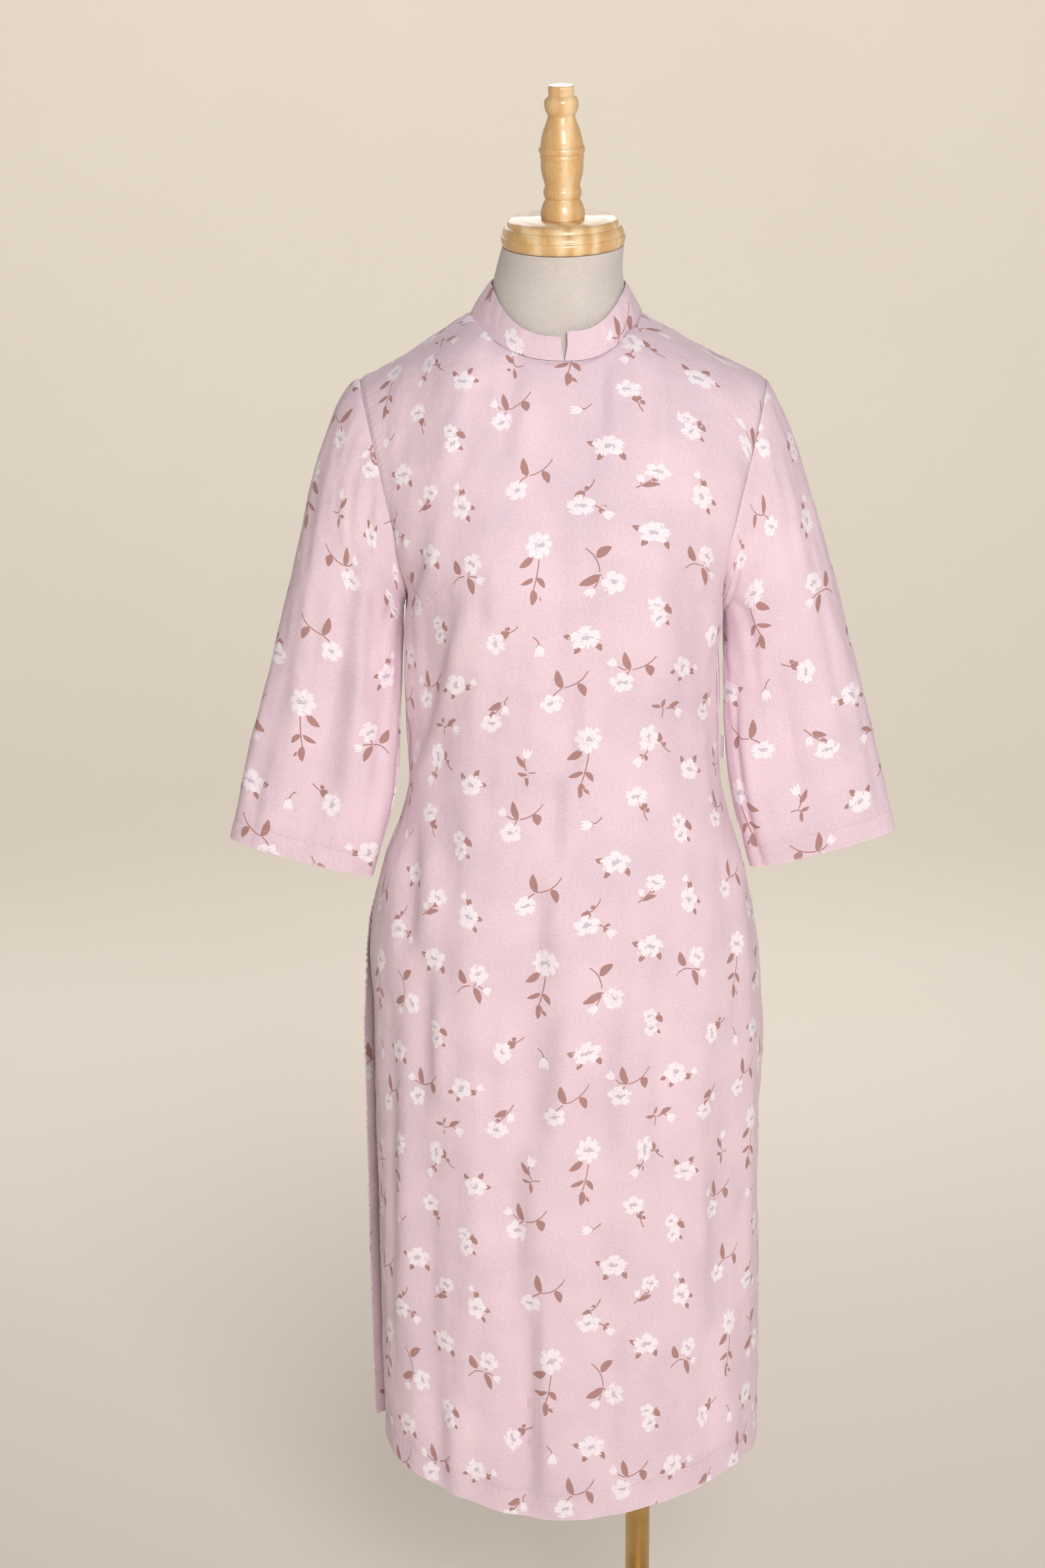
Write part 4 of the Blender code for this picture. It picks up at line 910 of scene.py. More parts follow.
class Value:
    """A node's output. Arithmetic on it adds Math nodes."""

    def __init__(self, paint, socket):
        self.paint, self.socket = paint, socket

    def math(self, operation, *others, clamp=False):
        return self.paint.math(operation, self, *others, clamp=clamp)

    def __add__(self, other):
        return self.math("ADD", other)

    def __sub__(self, other):
        return self.math("SUBTRACT", other)

    def __rsub__(self, other):
        return self.paint.math("SUBTRACT", other, self)

    def __mul__(self, other):
        return self.math("MULTIPLY", other)

    def __truediv__(self, other):
        return self.math("DIVIDE", other)

    def __pow__(self, other):
        return self.math("POWER", other)

    def __abs__(self):
        return self.math("ABSOLUTE")

    def sine(self):
        return self.math("SINE")

    def ribs(self, pitch):
        """From 0 to 1 and back over each pitch."""
        return abs((self * (math.pi / pitch)).sine())

    __radd__, __rmul__ = __add__, __mul__

    def clipped(self):
        return self.math("ADD", 0.0, clamp=True)


class Paint:
    """A material while it is being made."""

    def __init__(self, name, **shader):
        self.material = bpy.data.materials.new(name)
        self.material.use_nodes = True
        self.tree = self.material.node_tree
        self.shader = self.tree.nodes["Principled BSDF"]
        self.feed(self.shader, shader)

    def feed(self, node, values):
        for key, value in values.items():
            socket = node.inputs[key if isinstance(key, int) else key.replace("_", " ")]
            if isinstance(value, Value):
                self.tree.links.new(value.socket, socket)
            else:
                socket.default_value = value

    def node(self, kind, settings=None, values=None, out=0):
        made = self.tree.nodes.new("ShaderNode" + kind)
        settings = dict(settings or {})
        stops = settings.pop("stops", None)
        for key, value in settings.items():
            setattr(made, key, value)
        if stops:
            ramp = made.color_ramp
            while len(ramp.elements) < len(stops):
                ramp.elements.new(1.0)
            for element, (at, colour) in zip(ramp.elements, stops):
                element.position, element.color = at, colour
        self.feed(made, values or {})
        return Value(self, made.outputs[out])

    def math(self, operation, *values, clamp=False):
        settings = {"operation": operation, "use_clamp": clamp}
        return self.node("Math", settings, dict(enumerate(values)))

    def blend(self, factor, first, second):
        """A mix of two colours, each a link or six hex digits."""
        first, second = [shade(c) if isinstance(c, str) else c for c in (first, second)]
        return self.node("Mix", {"data_type": "RGBA"}, {0: factor, 6: first, 7: second}, out=2)

    def ramp(self, tone, *stops):
        """Colours, as six hex digits, that follow one another as the tone rises."""
        stops = [(at, shade(code)) for at, code in stops]
        return self.node("ValToRGB", {"stops": stops}, {"Fac": tone})

    def parts(self, vector):
        split = self.tree.nodes.new("ShaderNodeSeparateXYZ")
        self.tree.links.new(vector.socket, split.inputs[0])
        return [Value(self, output) for output in split.outputs]

    def attribute(self, name):
        return self.node("Attribute", {"attribute_name": name}, out=1)

    def flat_map(self, name):
        return self.node("UVMap", {"uv_map": name})

    def object_place(self):
        return self.node("TexCoord", out=3)

    def noise(self, place, scale, detail=2.0, flat=False, **values):
        settings = {"noise_dimensions": "2D" if flat else "3D"}
        values = {"Vector": place, "Scale": scale, "Detail": detail, **values}
        return self.node("TexNoise", settings, values)

    def stretched(self, place, x, y, z):
        return self.node("Mapping", {"vector_type": "POINT"}, {"Vector": place, "Scale": (x, y, z)})

    def steps(self, value, low, high):
        """0 below low and 1 above high, smoothly."""
        settings = {"interpolation_type": "SMOOTHSTEP"}
        return self.node("MapRange", settings, {"Value": value, 1: low, 2: high})

    def finish(self, colour=None, height=None, **values):
        if colour is not None:
            values["Base Color"] = colour
        if height is not None:
            values["Normal"] = self.node("Bump", {}, {"Distance": 1.0, "Height": height})
        self.feed(self.shader, values)
        return self.material


PETAL, PETAL_BLUSH, HEART = "FAF1F9", "F1E5EE", "D2C7D6"
LEAF_BROWN, LEAF_PALE = "AC7F7B", "B88D88"
GROUND_LILAC, GROUND_PINK, GROUND_LIGHT = "E0CAD8", "EAD1DD", "F1D9E4"


# The cloth's surface, in metres.
TWILL_PITCH, TWILL_HEIGHT = 0.0011, 0.000016
SLUB_HEIGHT, CRINKLE_HEIGHT = 0.00005, 0.0008
PUCKER_PITCH, PUCKER_HEIGHT = 0.0074, 0.00028
HEM_PUCKER_PITCH, HEM_PUCKER_HEIGHT, HEM_PUCKER_UP = 0.0085, 0.00016, 0.024
SEAM_HALF, SEAM_DEPTH = 0.0009, 0.0007
WORN_EDGE = 0.0022  # paler, where an edge is rubbed


def blooms(paint, place, ragged):
    """How much of each place is petal, heart and vein, from 0 to 1."""
    x, y, petals = paint.parts(paint.attribute("Bloom"))
    # An open bloom: a lobe for each petal, with clefts between them and a ragged rim.
    reach = (x * x + y * y) ** 0.5
    uneven = paint.noise(place, 260.0, 1.0, True) - 0.5
    turned = paint.math("ARCTAN2", y, x) * petals * 0.5 + uneven * 2.6
    lobe = abs(paint.math("COSINE", turned))
    rim = 0.50 + 0.50 * lobe ** 0.55 - 0.07 * paint.steps(lobe, 0.92, 1.0)
    rim = rim + uneven * 0.36 + ragged * 0.30
    petal = paint.steps(rim - reach, -0.02, 0.03)
    cleft = paint.steps(0.03 + 0.10 * (reach - 0.42) + ragged * 0.08 - lobe, 0.0, 0.04)
    petal = petal * (1.0 - 0.9 * cleft * paint.steps(reach, 0.46, 0.56))
    # A bud's three petals, seen from its side.
    crown = 0.34 + 0.52 * abs(paint.math("COSINE", y * (1.5 * math.pi))) + ragged * 0.3 - x
    back = paint.math("MINIMUM", x - 0.10, 0.0) / 1.1
    cup = 1.0 - (back * back + y * y * 1.45) ** 0.5
    bud = paint.steps(paint.math("MINIMUM", crown, cup), 0.0, 0.08)
    is_open = paint.steps(petals, 3.5, 4.5)
    petal = petal * is_open + bud * (1.0 - is_open)
    # Its heart, the strokes round it and the veins of its petals.
    core = (x * x * 30.0 + y * y * 7.5) ** 0.5
    heart = paint.steps(1.0 + uneven * 2.2 + ragged * 1.2 - core, 0.0, 0.2) * is_open
    strokes = 0.05 - abs(reach - 0.40 + uneven * 0.3)
    strokes = paint.steps(lobe, 0.70, 0.85) * paint.steps(strokes, 0.0, 0.03)
    strokes = strokes * paint.steps(uneven, 0.02, 0.08) * is_open
    vein = paint.steps(0.24 - abs(lobe - 0.45), 0.0, 0.24) * paint.steps(0.75 - reach, 0.0, 0.4)
    return petal, paint.math("MAXIMUM", heart, strokes), vein * 0.45


def leaves_and_stems(paint, ragged):
    """How much of each place is leaf or stem, from 0 to 1."""
    along, beside, _ = paint.parts(paint.attribute("Leaf"))
    stem_along, stem_beside, _ = paint.parts(paint.attribute("Stem"))
    width = paint.math("POWER", along.clipped(), 0.62) * ((1.0 - along).clipped() ** 0.80) * 2.6
    blade = paint.steps(width - abs(beside) + ragged * 0.16, 0.0, 0.08)
    ends = paint.steps(stem_along, -0.01, 0.01) * paint.steps(1.0 - stem_along, -0.01, 0.01)
    stalk = paint.steps(1.05 - abs(stem_beside) + ragged * 0.5, 0.0, 0.25) * ends
    return paint.math("MAXIMUM", blade, stalk)


def woven_height(paint, place, borders, heather):
    """Twill, slubs, the crinkle of washing, and puckers along sewn edges and seams."""
    u, v, _ = paint.parts(place)
    to_side, to_hem = borders
    twill = ((u + v) * (2 * math.pi / TWILL_PITCH)).sine() * TWILL_HEIGHT
    slub = paint.noise(paint.stretched(place, 0.35, 1.6, 1.0), 1500.0, 1.0, True) * SLUB_HEIGHT
    crinkle = paint.noise(place, 70.0, 2.0, True, Roughness=0.5) * CRINKLE_HEIGHT
    pucker = (v * (2 * math.pi / PUCKER_PITCH) + heather * 5.0).sine()
    pucker = pucker * PUCKER_HEIGHT * paint.math("EXPONENT", to_side * -150.0)
    hem_pucker = (u * (2 * math.pi / HEM_PUCKER_PITCH) + heather * 6.0).sine()
    at_hem = paint.math("EXPONENT", abs(to_hem - HEM_PUCKER_UP) * -130.0)
    hem_pucker = hem_pucker * at_hem * HEM_PUCKER_HEIGHT
    seams, _, _ = paint.parts(paint.attribute("Seam"))
    dip = paint.math("EXPONENT", (seams / SEAM_HALF) ** 2.0 * -1.0) * -SEAM_DEPTH
    return twill + slub + crinkle + pucker + hem_pucker + dip


def blossom_cloth(name, strength):
    """Washed cotton twill with small blossoms. The strength is how well its print shows."""
    paint = Paint(name, Sheen_Weight=0.22, Sheen_Roughness=0.45, Specular_IOR_Level=0.25)
    place = paint.flat_map("Cloth")
    to_side, to_hem, _ = paint.parts(paint.flat_map("Borders"))
    heather = paint.noise(place, 420.0, 3.0, True, Roughness=0.7)
    fleck = paint.noise(place, 1500.0, 1.0, True)
    drift = paint.noise(place, 14.0, 2.0, True)
    tone = heather * 0.7 + fleck * 0.35 + drift * 0.5 - 0.27
    ground = paint.ramp(tone, (0.34, GROUND_LILAC), (0.50, GROUND_PINK), (0.68, GROUND_LIGHT))

    ragged = paint.noise(place, 620.0, 1.0, True) - 0.5
    petal, heart, vein = blooms(paint, place, ragged)
    brown = paint.blend(heather, LEAF_BROWN, LEAF_PALE)
    white = paint.blend(vein, PETAL, PETAL_BLUSH)
    white = paint.blend(heart, white, HEART)
    shown = strength
    if strength < 1:
        # The edges that are turned in show the cloth's right side.
        at_slit = paint.steps(SLIT_FOLD - to_side, 0.0, 0.0003)
        at_hem = paint.steps(HEM_FOLD - to_hem, 0.0, 0.0003)
        shown = strength + (1.0 - strength) * paint.math("MAXIMUM", at_slit, at_hem)
    colour = paint.blend(leaves_and_stems(paint, ragged) * shown * 0.96, ground, brown)
    colour = paint.blend(petal * shown * 0.98, colour, white)
    edge = paint.math("MINIMUM", to_side, to_hem)
    worn = paint.steps(WORN_EDGE - edge, 0.0, 0.0018) * 0.35
    colour = paint.blend(worn, colour, GROUND_LIGHT)
    height = woven_height(paint, place, (to_side, to_hem), heather)
    return paint.finish(colour, height, Roughness=0.78 + 0.10 * fleck)


def form_jersey():
    """Fine warm-grey knit, stretched over the form."""
    paint = Paint("form_jersey", Sheen_Weight=0.3, Sheen_Roughness=0.5, Specular_IOR_Level=0.2)
    place = paint.object_place()
    x, y, z = paint.parts(place)
    fleck = paint.noise(paint.stretched(place, 1.0, 1.0, 0.5), 1400.0, 2.0)
    cloud = paint.noise(place, 22.0, 2.0)
    tone = fleck * 0.7 + cloud * 0.3
    colour = paint.ramp(tone, (0.30, "C9C0BA"), (0.55, "D9D1CC"), (0.75, "E6DFDB"))
    around = paint.math("ARCTAN2", y, x - FORM_X)
    wales = abs((around * 190.0).sine())
    courses = z.ribs(0.0011)
    height = wales * 0.00010 + courses * 0.00006 + fleck * 0.00010 + cloud * 0.0004
    return paint.finish(colour, height, Roughness=0.86 + 0.1 * fleck)


def turned_wood():
    """Lacquered pale hardwood, its grain along the finial."""
    paint = Paint("turned_wood", Coat_Weight=0.55, Coat_Roughness=0.12, Specular_IOR_Level=0.5)
    place = paint.object_place()
    bend = paint.noise(paint.stretched(place, 1.0, 1.0, 0.25), 26.0, 2.0)
    x, y, z = paint.parts(place)
    rings = (x * 260.0 + y * 120.0 + z * 16.0 + bend * 14.0).sine() * 0.5 + 0.5
    fibre = paint.noise(paint.stretched(place, 1.0, 1.0, 0.06), 900.0, 3.0, Roughness=0.6)
    pore = paint.steps(paint.noise(paint.stretched(place, 1.0, 1.0, 0.05), 1700.0, 1.0), 0.62, 0.75)
    tone = rings * 0.45 + fibre * 0.55
    stops = ((0.18, "D3A56B"), (0.42, "E6BE86"), (0.62, "F0CF9E"), (0.85, "F8E0B8"))
    colour = paint.ramp(tone, *stops)
    colour = paint.blend(pore * 0.35, colour, "8A5A2C")
    height = fibre * 0.00006 - pore * 0.00004
    return paint.finish(colour, height, Roughness=0.34 + 0.12 * fibre)


def board_wood():
    """Bare plywood, seen only from below."""
    paint = Paint("board_wood", Specular_IOR_Level=0.3)
    place = paint.object_place()
    bend = paint.noise(paint.stretched(place, 1.0, 0.3, 1.0), 14.0, 2.0)
    x, _, z = paint.parts(place)
    grain = (x * 300.0 + bend * 22.0).sine() * 0.5 + 0.5
    fibre = paint.noise(paint.stretched(place, 1.0, 0.06, 1.0), 500.0, 3.0)
    plies = z.ribs(0.004)
    tone = grain * 0.4 + fibre * 0.45 + plies * 0.15
    colour = paint.ramp(tone, (0.2, "B58B5B"), (0.6, "CDA878"), (0.9, "DDBF93"))
    return paint.finish(colour, fibre * 0.0001, Roughness=0.62 + 0.1 * fibre)


def pole_brass():
    """Lacquered brass, brushed round, duller where hands and floors rub it."""
    paint = Paint("pole_brass", Metallic=1.0, Coat_Weight=0.25, Coat_Roughness=0.15)
    place = paint.object_place()
    lines = paint.noise(paint.stretched(place, 0.05, 0.05, 1.0), 2600.0, 2.0)
    cloud = paint.noise(place, 34.0, 3.0)
    _, _, z = paint.parts(place)
    low = paint.steps(0.02 - z, 0.0, 0.02)
    colour = paint.blend(cloud, "B88E4C", "DDBE80")
    colour = paint.blend(low * cloud * 0.5, colour, "86683A")
    rough = 0.20 + 0.16 * lines + 0.14 * cloud + 0.1 * low
    return paint.finish(colour, lines * 0.00002, Roughness=rough)


def label_satin():
    """White satin ribbon."""
    paint = Paint("label_satin", Sheen_Weight=0.2, Specular_IOR_Level=0.5)
    place = paint.object_place()
    _, _, z = paint.parts(place)
    ribs = z.ribs(0.0006)
    cloud = paint.noise(place, 300.0, 2.0)
    colour = paint.blend(cloud, "EDEBE8", "FAF9F7")
    return paint.finish(colour, ribs * 0.00004 + cloud * 0.0001, Roughness=0.38 + 0.15 * cloud)


def button_shell():
    """Pale pink shell with a slow lustre."""
    paint = Paint("button_shell", Coat_Weight=0.6, Coat_Roughness=0.08)
    place = paint.object_place()
    bands = paint.noise(paint.stretched(place, 1.0, 1.0, 3.0), 260.0, 3.0)
    colour = paint.ramp(bands, (0.3, "D9B8BD"), (0.5, "EBD3D4"), (0.7, "F6E9E6"))
    return paint.finish(colour, bands * 0.00003, Roughness=0.22 + 0.15 * bands)


def sewing_thread():
    """Matt pink cotton thread."""
    paint = Paint("sewing_thread", Sheen_Weight=0.3, Specular_IOR_Level=0.25)
    place = paint.object_place()
    ply = paint.noise(place, 3000.0, 1.0)
    colour = paint.blend(ply, "CFA9B8", "EBCDD8")
    return paint.finish(colour, ply * 0.00004, Roughness=0.75 + 0.1 * ply)


def loop_cord():
    """Soft cotton cord, two strands wound round each other, with painted shade: its colour is darker
    in the grooves between the strands.
    """
    paint = Paint("loop_cord", Sheen_Weight=0.3, Specular_IOR_Level=0.25)
    place = paint.object_place()
    x, y, z = paint.parts(place)
    ribs_and_groove_shade = (x + y + z).ribs(0.0008)
    # Painted shade: the colour darkens in the grooves between the strands, where the bump dips, and is
    # lighter on their crests.
    colour = paint.blend(ribs_and_groove_shade, "C79FB0", "EACAD6")
    return paint.finish(colour, ribs_and_groove_shade * 0.00012, Roughness=0.8 + 0.08 * ribs_and_groove_shade)


def studio_floor():
    paint = Paint("studio_floor", Specular_IOR_Level=0.2)
    cloud = paint.noise(paint.object_place(), 1.4, 2.0)
    colour = paint.blend(cloud, "EFE7DB", "F2EBE0")
    return paint.finish(colour, Roughness=0.7 + 0.1 * cloud)


# ------------------------------------------------------------------ the print
# One repeat of the cloth, and how much each repeat to the wearer's left rises.
REPEAT_ACROSS, REPEAT_UP, REPEAT_RISE = 0.2255, 0.408, 0.027
# In millimetres and degrees. A leaf starts from its foot and is turned from the right, and a
# bloom of three petals is a bud.
Bloom = namedtuple("Bloom", "x y wide tall turn petals", defaults=(5,))
Leaf = namedtuple("Leaf", "x y length width turn")
Stem = namedtuple("Stem", "x0 y0 x1 y1 bow", defaults=(0.0,))
Motif = namedtuple("Motif", "kind x y turn", defaults=(0,))
STEM_HALF = 0.00068
LEAF_BOW = 0.30  # of its half-width
# Each kind of sprig: its blooms, leaves and stems, about its main bloom.
SPRIGS = {
    "open": (
        (Bloom(0, 0, 31, 23, 90),),
        (Leaf(-10, 2, 10, 6, 165), Leaf(-6, -6, 10, 6, 238), Leaf(8, -6, 10, 6, 305)),
        (),
    ),
    "upright": (
        (Bloom(0, 0, 26, 22, 84),),
        (Leaf(-7, 6, 9, 5.5, 128), Leaf(5, 7, 9, 6, 62), Leaf(9, 0, 8, 5, 350)),
        (),
    ),
    "pair": (
        (Bloom(-2, 8, 18, 15, 80), Bloom(1, -5, 18, 20, 118)),
        (Leaf(6, 6, 11, 7, 322), Leaf(8, 3, 7, 4.5, 70), Leaf(7, -8, 7, 4, 318)),
        (),
    ),
    "budded": (
        (Bloom(0, 0, 23, 26, 72), Bloom(-5, 21, 8, 9, 128, 3)),
        (Leaf(1, 10, 8, 6.5, 78), Leaf(8, -1, 8, 5, 340), Leaf(5, -9, 8, 4.5, 300)),
        (Stem(-3, 19, 2, 13, -0.10),),
    ),
    "side": (
        (Bloom(0, 0, 28, 21, 96), Bloom(24, -10, 11, 10, 318, 3)),
        (
            Leaf(0, 7, 8, 10, 88), Leaf(4, 15, 5, 4.5, 50), Leaf(17, -3, 6, 4, 15),
            Leaf(17, -3, 6, 3, 265),
        ),
        (Stem(3, 13, 13, 25, -0.10), Stem(11, 0, 21, -7, 0.05)),
    ),
    "drooping": (
        (Bloom(0, 0, 24, 18, 62), Bloom(-15, -8, 8, 9, 92, 3)),
        (Leaf(0, -2, 10, 6, 242), Leaf(-14, -16, 16, 5.5, 12)),
        (Stem(-3, -7, -19, -18, 0.03), Stem(-15, -10, -15, -15)),
    ),
    "sprig": (
        (Bloom(0, 0, 24, 21, 100), Bloom(-9, 20, 10, 10, 135, 3)),
        (Leaf(7, 12, 19, 7.5, 105), Leaf(23, 17, 12, 9, 290)),
        (Stem(1, 5, 7, 12), Stem(7, 12, 32, 26, -0.12), Stem(7, 12, -4, 16, 0.10)),
    ),
    "long": (
        (Bloom(0, 0, 23, 20, 105),),
        (Leaf(11, 13, 19, 8, 100), Leaf(26, 16, 14, 7.5, 292)),
        (Stem(1, 6, 11, 13, 0.05), Stem(11, 13, 36, 27, -0.14)),
    ),
    "bud": (
        (Bloom(0, 0, 13, 11, 176, 3),),
        (Leaf(6, 0, 6, 4.5, 142), Leaf(6, 1, 6, 4, 232)),
        (Stem(5, 0, 15, 6, -0.12),),
    ),
    "stemmed": (
        (Bloom(0, 0, 24, 20, 95),),
        (Leaf(4, -7, 9, 9, 298), Leaf(9, -13, 5, 5, 330)),
        (Stem(7, -11, 11, -24, -0.08),),
    ),
    "tall": (
        (Bloom(0, 0, 27, 28, 90, 8),),
        (
            Leaf(-6, -10, 17, 7.5, 214), Leaf(-5, -31, 15, 5, 199), Leaf(-3, -31, 13, 5.5, 304),
            Leaf(-7, -42, 15, 7.5, 264), Leaf(-5, -48, 8, 3.5, 314),
        ),
        (Stem(0, -12, -7, -43, 0.03),),
    ),
    "leafy": (
        (Bloom(0, 0, 22, 22, 62), Bloom(9, -17, 10, 9, 335, 3)),
        (Leaf(-14, -9, 16, 8.5, 115), Leaf(-5, -13, 18, 7.5, 291)),
        (Stem(-24, -18, -5, -12, 0.18), Stem(-5, -12, 5, -14, 0.10), Stem(-5, -12, -1, -5)),
    ),
    "crook": (
        (Bloom(0, 0, 22, 24, 35), Bloom(-21, -9.5, 12, 9, 228, 3)),
        (Leaf(-14, 24, 17, 9, 38), Leaf(-12, 7, 21, 8.5, 205)),
        (Stem(-24, 33, -12, 8, 0.14), Stem(-12, 8, -17, -5, 0.06), Stem(-12, 8, -8, 2)),
    ),
    "bent": (
        (Bloom(0, 0, 25, 19, 272), Bloom(15, 11.5, 9, 11, 272, 3)),
        (Leaf(0, 1, 12, 6, 76), Leaf(11, 20, 15, 6.5, 206)),
        (Stem(2, 8, 18, 25, -0.04), Stem(15, 15, 15, 20)),
    ),
    "spray": (
        (Bloom(0, 0, 11, 11, 332, 3),),
        (Leaf(-21, 5.5, 11, 4, 175), Leaf(-20.5, 5, 9, 4, 67), Leaf(-13, 4, 15, 5.5, 27)),
        (Stem(-20, -5, -19, 2), Stem(-19, 2, -21, 6), Stem(-19, 2, -4, 3, 0.16)),
    ),
}
MOTIFS = (
    Motif("upright", -93, -167), Motif("sprig", -50.4, 193.4), Motif("bud", 22, 196.3),
    Motif("stemmed", 71.4, -187.9), Motif("open", 50.1, 158.1), Motif("drooping", 90.8, 135.3),
    Motif("pair", 119.5, 187.3), Motif("budded", -96.1, 111.3), Motif("long", -37.1, 120.5),
    Motif("side", 22.8, 99.1), Motif("open", 85.6, 73.4, -4), Motif("tall", -17.4, 63.6),
    Motif("leafy", -85.4, 53.8), Motif("crook", 49.2, 23.8), Motif("pair", 88, -3.8),
    Motif("open", 22.8, -28.8, 4), Motif("stemmed", -61.8, -26.3, 98), Motif("bud", -19.6, -38.6, 90),
    Motif("budded", -106.9, -64.2, -100), Motif("sprig", 55.3, -73.8), Motif("long", -9.1, -90.4, 4),
    Motif("bent", -69, -106.3), Motif("spray", 115.2, -104.5), Motif("side", 82.6, -130.9, -92),
    Motif("tall", 24.4, -128.3), Motif("spray", -33.2, -138.1, 100),
)
# How the front panel's cloth is drawn across and up as it hangs, in millimetres, for powers
# of the distance from the middle line and from DRAPE_MIDDLE below the underarm.
Drawn = namedtuple("Drawn", "out up by")
DRAPE_WIDE, DRAPE_MIDDLE, DRAPE_TALL = 0.20, -0.30, 0.45
DRAWN_ACROSS = (
    Drawn(0, 1, 3.1), Drawn(0, 2, 2.3), Drawn(0, 3, 4.9), Drawn(1, 1, -8.6), Drawn(2, 0, -8.2),
    Drawn(3, 0, 35.2), Drawn(3, 1, -10.5), Drawn(2, 1, -17.6), Drawn(1, 2, 3.8),
    Drawn(2, 2, -8.2), Drawn(3, 2, -13.4),
)
DRAWN_UP = (
    Drawn(1, 0, -12.2), Drawn(2, 0, 13.4), Drawn(3, 0, 9.6), Drawn(1, 1, -9.5), Drawn(0, 2, -6.1),
    Drawn(0, 3, 6.7), Drawn(2, 1, 23.8), Drawn(1, 2, 4.5), Drawn(2, 2, -0.3), Drawn(3, 1, 16.4),
    Drawn(0, 4, 8.6),
)
MM = 0.001
MARK_REACH = 0.03  # how far a mark may reach in from past a piece's edge
LOOK_AROUND = 0.07  # how far round a batch of faces its nearest marks are looked for
FACES_AT_ONCE = 4000
# Bust darts, from the side seam to the point, on the hanging front panel.
DARTS = ((-0.2080, -0.0440, -0.1190, 0.0175), (0.2080, -0.0440, 0.1300, 0.0240))
DART_FADE = 0.05  # how fast a dart's line fades past its point


def draped(u, v):
    """Where a place on the hanging front panel is on its cut cloth."""
    out, up = u / DRAPE_WIDE, (v - DRAPE_MIDDLE) / DRAPE_TALL
    across = sum(d.by * out**d.out * up**d.up for d in DRAWN_ACROSS)
    along = sum(d.by * out**d.out * up**d.up for d in DRAWN_UP)
    return u + across * MM, v + along * MM


def turned_by(degrees):
    return complex(math.cos(math.radians(degrees)), math.sin(math.radians(degrees)))


def laid(mark, motif, middle):
    """A bloom, leaf or stem of a motif as in_bloom, in_leaf or in_stem unpacks it, in metres
    and radians."""

    def on_cloth(x, y):
        point = middle + turned_by(motif.turn) * complex(x, y) * MM
        return point.real, point.imag

    if isinstance(mark, Stem):
        return (*on_cloth(mark.x0, mark.y0), *on_cloth(mark.x1, mark.y1), mark.bow)
    turn = math.radians(mark.turn + motif.turn)
    if isinstance(mark, Leaf):
        return (*on_cloth(mark.x, mark.y), mark.length * MM, mark.width / 2 * MM, turn)
    halves = (mark.wide / 2 * MM, mark.tall / 2 * MM)
    return (*on_cloth(mark.x, mark.y), *halves, mark.petals, math.radians(motif.turn), turn)


def within(table, low, high, reach):
    """Which rows of a table of places are between two corners, or this close to them."""
    return ((table[:, :2] > low - reach) & (table[:, :2] < high + reach)).all(axis=1)


def spread(kind, low, high):
    """Every mark of one kind, of the three in a sprig, between two corners of the cloth."""
    columns = range(math.floor(low[0] / REPEAT_ACROSS) - 1, math.ceil(high[0] / REPEAT_ACROSS) + 2)
    rows = range(math.floor(low[1] / REPEAT_UP) - 1, math.ceil(high[1] / REPEAT_UP) + 2)
    found = []
    for across, up in itertools.product(columns, rows):
        rise = across * REPEAT_ACROSS * REPEAT_RISE
        corner = complex(across * REPEAT_ACROSS, up * REPEAT_UP + rise)
        for motif in MOTIFS:
            middle = corner + complex(motif.x, motif.y) * MM
            found += [laid(mark, motif, middle) for mark in SPRIGS[motif.kind][kind]]
    found = np.array(found)
    return found[within(found, low, high, MARK_REACH)]


# Each of the next three gives a place in a mark's own measure, as three numbers for the
# print, and how far outside of the mark it is.
def in_bloom(place, marks):
    """Its rim is at 1. The third number is its petals."""
    x0, y0, half_wide, half_tall, petals, lean, turn = marks
    x, y = place[0] - x0, place[1] - y0
    c, s = np.cos(lean), np.sin(lean)
    x, y = (x * c + y * s) / half_wide, (y * c - x * s) / half_tall
    c, s = np.cos(turn - lean), np.sin(turn - lean)
    x, y = x * c + y * s, y * c - x * s
    outside = (np.hypot(x, y) - 1) * np.minimum(half_wide, half_tall)
    return x, y, petals + 0 * x, outside


def in_leaf(place, marks):
    """From 0 at its foot to 1 at its tip, and 1 at its half-width."""
    x0, y0, length, half_width, turn = marks
    x, y = place[0] - x0, place[1] - y0
    along = (x * np.cos(turn) + y * np.sin(turn)) / length
    beside = (y * np.cos(turn) - x * np.sin(turn)) / half_width
    beside = beside - LEAF_BOW * np.sin(np.pi * np.clip(along, -0.2, 1.2))
    outside = (np.hypot((along - 0.5) / 0.5, beside) - 1) * half_width
    return along, beside, 0 * along, outside


def in_stem(place, marks):
    """From 0 to 1 along it, and 1 at its half-width."""
    x0, y0, x1, y1, bow = marks
    run_x, run_y = x1 - x0, y1 - y0
    run = np.hypot(run_x, run_y)
    along = ((place[0] - x0) * run_x + (place[1] - y0) * run_y) / run**2
    beside = ((place[1] - y0) * run_x - (place[0] - x0) * run_y) / run
    beside = beside - bow * run * 4 * along * (1 - along)
    past = np.maximum(np.abs(along - 0.5) - 0.5, 0) * run
    return along, beside / STEM_HALF, 0 * along, np.hypot(past, beside)


def corner_vectors(mesh, name, values):
    layer = mesh.attributes.new(name, "FLOAT_VECTOR", "CORNER")
    layer.data.foreach_set("vector", np.stack(values, -1).astype(np.float32).reshape(-1))


MARKS = {"Bloom": in_bloom, "Leaf": in_leaf, "Stem": in_stem}


